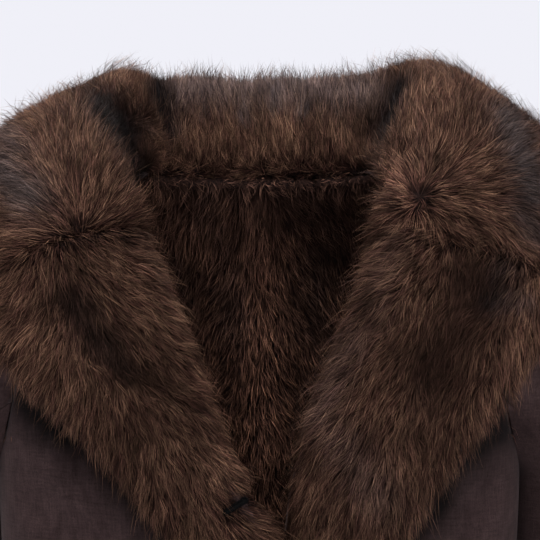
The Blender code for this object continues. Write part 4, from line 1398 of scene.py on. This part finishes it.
class JACKET_OT_fur(bpy.types.Operator):
    """Makes the fur of the collar, lapels and lining"""

    bl_idname = "jacket.fur"
    bl_label = "Fur"

    def execute(self, context):
        settings = context.scene.jacket_fur
        # the ash colour, and the two colours of painted shade
        hollows = (settings.ash, settings.deep, settings.painted_hollow_shade)
        outer = (settings.root, settings.middle, settings.tip, settings.rose)
        inner = (settings.lining_root, settings.lining_middle, settings.lining_tip, settings.lining_rose)
        finishes = {
            "faux_fur": fur_material("fur", *outer, *hollows),
            "fur_lining": fur_material("lining fur", *inner, *hollows),
        }
        cloths = {
            "faux_fur": backing_material("fur backing", *outer[:2]),
            "fur_lining": backing_material("lining backing", *inner[:2]),
        }
        nodes = fur_nodes()
        blade = hair_blade()
        backings, hairs, slots = {}, {}, {}
        for index, fur in enumerate(FURS):
            if fur.backing not in backings:
                backings[fur.backing] = make_backing(fur.backing)
            backing = backings[fur.backing]
            seed = settings.seed + index * SEED_STEP
            hair = grow(fur, backing, nodes, blade, settings, finishes[fur.slot], seed)
            hairs.setdefault(fur.backing, []).append(hair)
            slots[fur.backing] = fur.slot
        for node, backing in backings.items():
            coat(backing, cloths[slots[node]])
            declare(backing, node, slots[node], hairs[node])
        bpy.data.objects.remove(blade)
        bpy.data.node_groups.remove(nodes)
        return {"FINISHED"}


# ---- buttons, buttonhole and stitches


def turned(section, turns):
    """A closed solid turned round Z from a section of radii and heights."""
    bm = bmesh.new()
    rings = []
    for radius, height in section:
        if radius == 0.0:
            rings.append([bm.verts.new((0.0, 0.0, height))])
            continue
        angles = [2 * math.pi * k / turns for k in range(turns)]
        rings.append([bm.verts.new((radius * math.cos(a), radius * math.sin(a), height)) for a in angles])
    for low, high in zip(rings, rings[1:]):
        for k in range(turns):
            corners = [ring[i % len(ring)] for ring, i in ((low, k), (low, k + 1), (high, k + 1), (high, k))]
            bm.faces.new(list(dict.fromkeys(corners)))
    bmesh.ops.recalc_face_normals(bm, faces=bm.faces)
    return bm


def stitch_blank():
    """One stitch: a round bar a unit long and thick, thinner at both ends."""
    bm = turned(STITCH_SECTION, STITCH_TURNS)
    bmesh.ops.rotate(bm, verts=bm.verts, matrix=Matrix.Rotation(math.radians(90), 3, "Y"))
    return as_object(bm, "stitch blank")


def frame_of(name):
    """Middle, radius, thickness and axes of a button's solid, its face towards the front."""
    points = points_of(NODES[name].data)
    middle = (points.min(axis=0) + points.max(axis=0)) / 2
    axes = np.linalg.svd(points - points.mean(axis=0), full_matrices=False)[2]
    face = axes[2] * (-1.0 if axes[2][1] > 0 else 1.0)
    across = unit(np.cross(face, np.array([0.0, 0.0, 1.0])))
    heights = (points - middle) @ face
    radius = np.linalg.norm((points - middle) - heights[:, None] * face, axis=1).max()
    turn = Matrix(np.column_stack([across, np.cross(face, across), face]).tolist())
    return Matrix.Translation(middle.tolist()) @ turn.to_4x4(), radius, heights.max() - heights.min()


def make_button(name, horn, thread, blank):
    """A turned button with a raised rim and four holes, and the thread that holds it."""
    place, radius, thick = frame_of(name)
    section = [(share * radius, height * thick) for share, height in BUTTON_SECTION]
    button = as_object(turned(section, BUTTON_TURNS), name + "_horn")
    drill = bmesh.new()
    for x, y in product((-HOLE_AT, HOLE_AT), repeat=2):
        bmesh.ops.create_cone(
            drill, cap_ends=True, segments=THREAD_HOLE_TURNS, radius1=THREAD_HOLE, radius2=THREAD_HOLE,
            depth=thick * 3, matrix=Matrix.Translation((x, y, 0.0)),
        )
    drill = as_object(drill, "drill")
    cut = button.modifiers.new("holes", "BOOLEAN")
    cut.operation = "DIFFERENCE"
    cut.solver = "EXACT"
    cut.object = drill
    apply_modifiers(button)
    bpy.data.objects.remove(drill)
    button.data.set_sharp_from_angle(angle=math.radians(35))
    button.data.transform(place)
    coat(button, horn)
    bars = bmesh.new()
    low, higher = STRAND_HEIGHT
    for x, strand in product((-HOLE_AT, HOLE_AT), STRANDS):
        height = thick * (low + higher * (strand == 0))
        at = Matrix.Translation((x + strand * STRAND_APART, 0.0, height))
        turn = Matrix.Rotation(math.radians(90 + strand * STRAND_TILT), 4, "Z")
        size = Matrix.Diagonal((*STRAND_SIZE, 1.0))
        before = len(bars.verts)
        bars.from_mesh(blank.data)
        bars.verts.ensure_lookup_table()
        bmesh.ops.transform(bars, matrix=place @ at @ turn @ size, verts=bars.verts[before:])
    sewn = as_object(bars, name + "_thread")
    sewn.data.shade_smooth()
    coat(sewn, thread)
    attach(button, "root")
    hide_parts(name)
    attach(sewn, "root")


def path_object(name, lines):
    """A mesh of open or closed lines, with the way that a stitch lies and the way out stored on it."""
    points, edges, lays, outs = [], [], [], []
    for spots, lay, out, closed in lines:
        start, count = len(points), len(spots)
        points += [tuple(p) for p in spots]
        edges += [(start + k, start + (k + 1) % count) for k in range(count if closed else count - 1)]
        lays += list(lay)
        outs += list(out)
    mesh = bpy.data.meshes.new(name)
    mesh.from_pydata(points, edges, [])
    store(mesh, "lay", np.array(lays, float))
    store(mesh, "out", np.array(outs, float))
    return link(bpy.data.objects.new(name, mesh))


STITCH_INPUTS = {
    "Spacing": "NodeSocketFloat",
    "Size": "NodeSocketVector",
    "Stitch": "NodeSocketObject",
    "Material": "NodeSocketMaterial",
}


def stitch_nodes():
    """Sets a stitch at even distances along each line."""
    nodes, tree, given = group("stitches", STITCH_INPUTS)
    line = tree.node("GeometryNodeMeshToCurve", {}, {"Mesh": given("Geometry")}, "Curve")
    values = {"Curve": line, "Length": given("Spacing")}
    line = tree.node("GeometryNodeResampleCurve", {"mode": "LENGTH"}, values, "Curve")
    spots = tree.node("GeometryNodeCurveToPoints", {"mode": "EVALUATED"}, {"Curve": line}, "Points")
    lay, out = named(tree, "lay", Arrow), named(tree, "out", Arrow)
    turn = tree.node("FunctionNodeAlignRotationToVector", {"axis": "X"}, {"Vector": lay}, "Rotation")
    settings, values = {"axis": "Z", "pivot_axis": "X"}, {"Rotation": turn, "Vector": out}
    turn = tree.node("FunctionNodeAlignRotationToVector", settings, values, "Rotation")
    stitch = tree.node("GeometryNodeObjectInfo", {}, {"Object": given("Stitch")}, "Geometry")
    values = {"Points": spots, "Instance": stitch, "Rotation": turn, "Scale": given("Size")}
    sewn = tree.node("GeometryNodeInstanceOnPoints", {}, values, "Instances")
    sewn = tree.node("GeometryNodeRealizeInstances", {}, {"Geometry": sewn}, "Geometry")
    return give_out(nodes, tree, sewn, given("Material"))


def sew(piece, nodes, blank, material, spacing, size):
    """Turns a piece that is a path into its stitches."""
    modifier = piece.modifiers.new("stitches", "NODES")
    modifier.node_group = nodes
    set_inputs(modifier, {"Spacing": spacing, "Size": size, "Stitch": blank, "Material": material})
    apply_modifiers(piece)
    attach(piece, "root")


def outer_line(trees, middle, axis):
    """Points round the outside of the cloths in one plane, each with its normal; gaps are None."""
    axis = axis.normalized()
    side = axis.cross(Vector((0.0, 1.0, 0.0))).normalized()
    ahead = axis.cross(side)
    found = []
    for k in range(ROW_RAYS):
        angle = 2 * math.pi * k / ROW_RAYS
        way = side * math.cos(angle) + ahead * math.sin(angle)
        hits = [tree.ray_cast(middle + way * 0.5, -way, 0.5) for tree in trees]
        hits = [hit for hit in hits if hit[0] is not None]
        best = min(hits, key=lambda hit: hit[3], default=None)
        found.append((best[0], best[1]) if best else None)
    return found


def in_runs(found, closed):
    """Splits found points into runs, and gives each with its ways and normals."""
    runs, run = [], []
    for spot in found + ([found[0]] if closed else []):
        if spot is None or (run and (spot[0] - run[-1][0]).length > ROW_BREAK):
            runs.append(run)
            run = []
        if spot is not None:
            run.append(spot)
    runs.append(run)
    for run in runs:
        if len(run) < 3:
            continue
        spots = np.array([p[:] for p, _ in run])
        outs = np.array([n[:] for _, n in run])
        yield spots + outs * ABOVE_CLOTH, unit(np.gradient(spots, axis=0)), outs, False


def front_edge(tree):
    """Points down the free edge of the front that laps over, a little in from the edge."""
    back = Vector((0.0, 1.0, 0.0))
    found = []
    for z in np.arange(*EDGE_ROW, -EDGE_STEP):
        for x in np.arange(*EDGE_SEARCH):
            if tree.ray_cast(Vector((x, -0.4, z)), back)[0] is not None:
                hit = tree.ray_cast(Vector((x - EDGE_MARGIN, -0.4, z)), back)
                found.append((hit[0], hit[1]) if hit[0] is not None else None)
                break
    return found


def keyhole():
    """The outline of the slit and its eye, on a flat plane, with the way out of it."""
    tree = solid_tree(HOLE_IN)
    start, end = (seen_point(tree, *spot) for spot in HOLE_ENDS)
    normal = tree.find_nearest((start + end) / 2)[1]
    along = (end - start).normalized()
    beside = normal.cross(along).normalized()
    normal = along.cross(beside)
    long = (end - start).length
    turn = [math.radians(a) for a in range(-EYE_TURN, EYE_TURN + 1, EYE_STEP)]
    eye = [(long - EYE_RADIUS + EYE_RADIUS * math.cos(a), EYE_RADIUS * math.sin(a)) for a in turn]
    bar = [(x, HOLE_HALF_WIDTH) for x in np.linspace(long - 2.2 * EYE_RADIUS, 0.001, SLIT_STEPS)]
    flat = np.array(eye + bar + [(0.0, 0.0)] + [(x, -y) for x, y in reversed(bar)])
    away = unit(np.roll(flat, -1, axis=0) - np.roll(flat, 1, axis=0))[:, ::-1] * (1, -1)
    axes = np.array([along[:], beside[:]])
    middle = np.array(start - normal * HOLE_SINK)
    return middle + flat @ axes, away @ axes, np.array(normal)


def make_buttonhole(nodes, blank, thread, settings):
    """A slit edged with close stitches, on a pad of the same thread."""
    spots, away, normal = keyhole()
    bm = bmesh.new()
    for depth in (0.0, -HOLE_PAD):
        for spot in spots:
            bm.verts.new((spot + normal * (depth - SLIT_UNDER)).tolist())
    bm.verts.ensure_lookup_table()
    count = len(spots)
    bm.faces.new([bm.verts[k] for k in range(count)])
    bm.faces.new([bm.verts[k] for k in reversed(range(count, 2 * count))])
    for k in range(count):
        after = (k + 1) % count
        bm.faces.new([bm.verts[i] for i in (k, after, count + after, count + k)])
    bmesh.ops.recalc_face_normals(bm, faces=bm.faces)
    bmesh.ops.triangulate(bm, faces=bm.faces)
    slit = as_object(bm, "buttonhole_slit")
    coat(slit, thread)
    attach(slit, "root")
    line = (spots + away * PURL_SIZE[0] * PURL_OUT, away, np.tile(normal, (count, 1)), True)
    edge = path_object("buttonhole_stitches", [line])
    sew(edge, nodes, blank, thread, settings.purl, PURL_SIZE)


class JACKET_OT_trim(bpy.types.Operator):
    """Makes the buttons, the buttonhole and the rows of stitches"""

    bl_idname = "jacket.trim"
    bl_label = "Trim"

    def execute(self, context):
        settings = context.scene.jacket_trim
        thread = plain_material("thread", settings.thread, 0.75, 1800.0)
        seam_thread = plain_material("seam thread", settings.seam_thread, 0.85, 1800.0)
        horn = horn_material(settings)
        nodes, blank = stitch_nodes(), stitch_blank()
        for name in ("button_upper", "button_lower"):
            make_button(name, horn, thread, blank)
        make_buttonhole(nodes, blank, thread, settings)
        lines = []
        for row in ROWS:
            cloths = [bpy.data.objects[name + "_cloth"].data for name in row.cloths]
            lowest = min(points_of(cloth)[:, 2].min() for cloth in cloths)
            middle = Vector((row.x, row.y, lowest + row.above_edge))
            axis = Vector((0.0, row.axis_y, -1.0))
            found = outer_line([mesh_tree(cloth) for cloth in cloths], middle, axis)
            lines += list(in_runs(found, True))
        lap = mesh_tree(bpy.data.objects["right_front_cloth"].data)
        lines += list(in_runs(front_edge(lap), False))
        rows = path_object("seam_stitches", lines)
        size = (settings.stitch, *SEAM_STITCH)
        sew(rows, nodes, blank, seam_thread, settings.stitch + settings.stitch_gap, size)
        bpy.data.objects.remove(blank)
        bpy.data.node_groups.remove(nodes)
        return {"FINISHED"}


# ---- stage


Light = namedtuple("Light", "name place size power")
LIGHTS = [
    Light("key light", (-0.5, -1.2, 1.8), 1.2, 50.0),
    Light("fill light", (1.2, -1.8, 0.5), 1.6, 16.0),
    Light("top light", (0.2, 0.5, 1.9), 1.2, 26.0),
]
LIT = Vector((0.0, 0.0, -0.15))  # where the lights point
FLOOR_HALF = 6.0


def make_floor(settings):
    bm = bmesh.new()
    bmesh.ops.create_grid(bm, x_segments=1, y_segments=1, size=FLOOR_HALF)
    floor = as_object(bm, "floor")
    floor.location.z = settings.floor_height
    material, _, shader = new_material("floor", {"Roughness": 0.9})
    shader.inputs["Base Color"].default_value = (*settings.floor, 1.0)
    coat(floor, material)


def make_backdrop(scene, settings):
    """An even backdrop that lights the jacket less than it shows."""
    scene.world = scene.world or bpy.data.worlds.new("backdrop")
    scene.world.use_nodes = True
    sky = Tree(scene.world.node_tree)
    background = sky.tree.nodes["Background"]
    background.inputs["Color"].default_value = (*settings.backdrop, 1.0)
    seen = sky.node("ShaderNodeLightPath", {}, {}, "Is Camera Ray")
    strength = seen * (1.0 - settings.ambient) + settings.ambient
    sky.tree.links.new(strength.socket, background.inputs["Strength"])


def make_light(row):
    light = bpy.data.lights.new(row.name, "AREA")
    light.shape = "DISK"
    light.size = row.size
    light.energy = row.power
    lamp = link(bpy.data.objects.new(row.name, light))
    lamp.location = row.place
    lamp.rotation_euler = (LIT - Vector(row.place)).to_track_quat("-Z", "Y").to_euler()


class JACKET_OT_stage(bpy.types.Operator):
    """Makes the floor, the light and the camera"""

    bl_idname = "jacket.stage"
    bl_label = "Stage"

    def execute(self, context):
        scene = context.scene
        make_floor(scene.jacket_stage)
        make_backdrop(scene, scene.jacket_stage)
        for row in LIGHTS:
            make_light(row)
        camera = bpy.data.cameras.new("camera")
        camera.sensor_width = SENSOR
        camera.lens = SENSOR * EYE_TO_LAPELS / VIEW_WIDTH
        eye = link(bpy.data.objects.new("camera", camera))
        eye.location = EYE
        eye.rotation_euler = (math.radians(90), 0.0, 0.0)
        scene.camera = eye
        scene.view_settings.view_transform = "Standard"
        return {"FINISHED"}


# ---- panel


class JACKET_PT_panel(bpy.types.Panel):
    """Lists the jacket's settings and steps"""

    bl_label = "Jacket"
    bl_space_type = "VIEW_3D"
    bl_region_type = "UI"
    bl_category = "Jacket"

    def draw(self, context):
        for name, operators in STEPS.items():
            box = self.layout.box()
            settings = getattr(context.scene, name)
            for key in settings.__annotations__:
                box.prop(settings, key)
            for operator in operators:
                box.operator(operator.bl_idname)


STEPS = {
    "jacket_suede": [JACKET_OT_suede],
    "jacket_fur": [JACKET_OT_fur],
    "jacket_trim": [JACKET_OT_trim],
    "jacket_stage": [JACKET_OT_stage],
}
SETTINGS = {
    "jacket_suede": SuedeSettings,
    "jacket_fur": FurSettings,
    "jacket_trim": TrimSettings,
    "jacket_stage": StageSettings,
}


def register():
    for name, settings in SETTINGS.items():
        bpy.utils.register_class(settings)
        setattr(bpy.types.Scene, name, PointerProperty(type=settings))
    for operators in STEPS.values():
        for operator in operators:
            bpy.utils.register_class(operator)
    bpy.utils.register_class(JACKET_PT_panel)


def unregister():
    bpy.utils.unregister_class(JACKET_PT_panel)
    for operators in STEPS.values():
        for operator in operators:
            bpy.utils.unregister_class(operator)
    for name, settings in SETTINGS.items():
        delattr(bpy.types.Scene, name)
        bpy.utils.unregister_class(settings)


def main():
    register()
    for operators in STEPS.values():
        for operator in operators:
            group_name, step = operator.bl_idname.split(".")
            getattr(getattr(bpy.ops, group_name), step)()


if __name__ == "__main__":
    main()
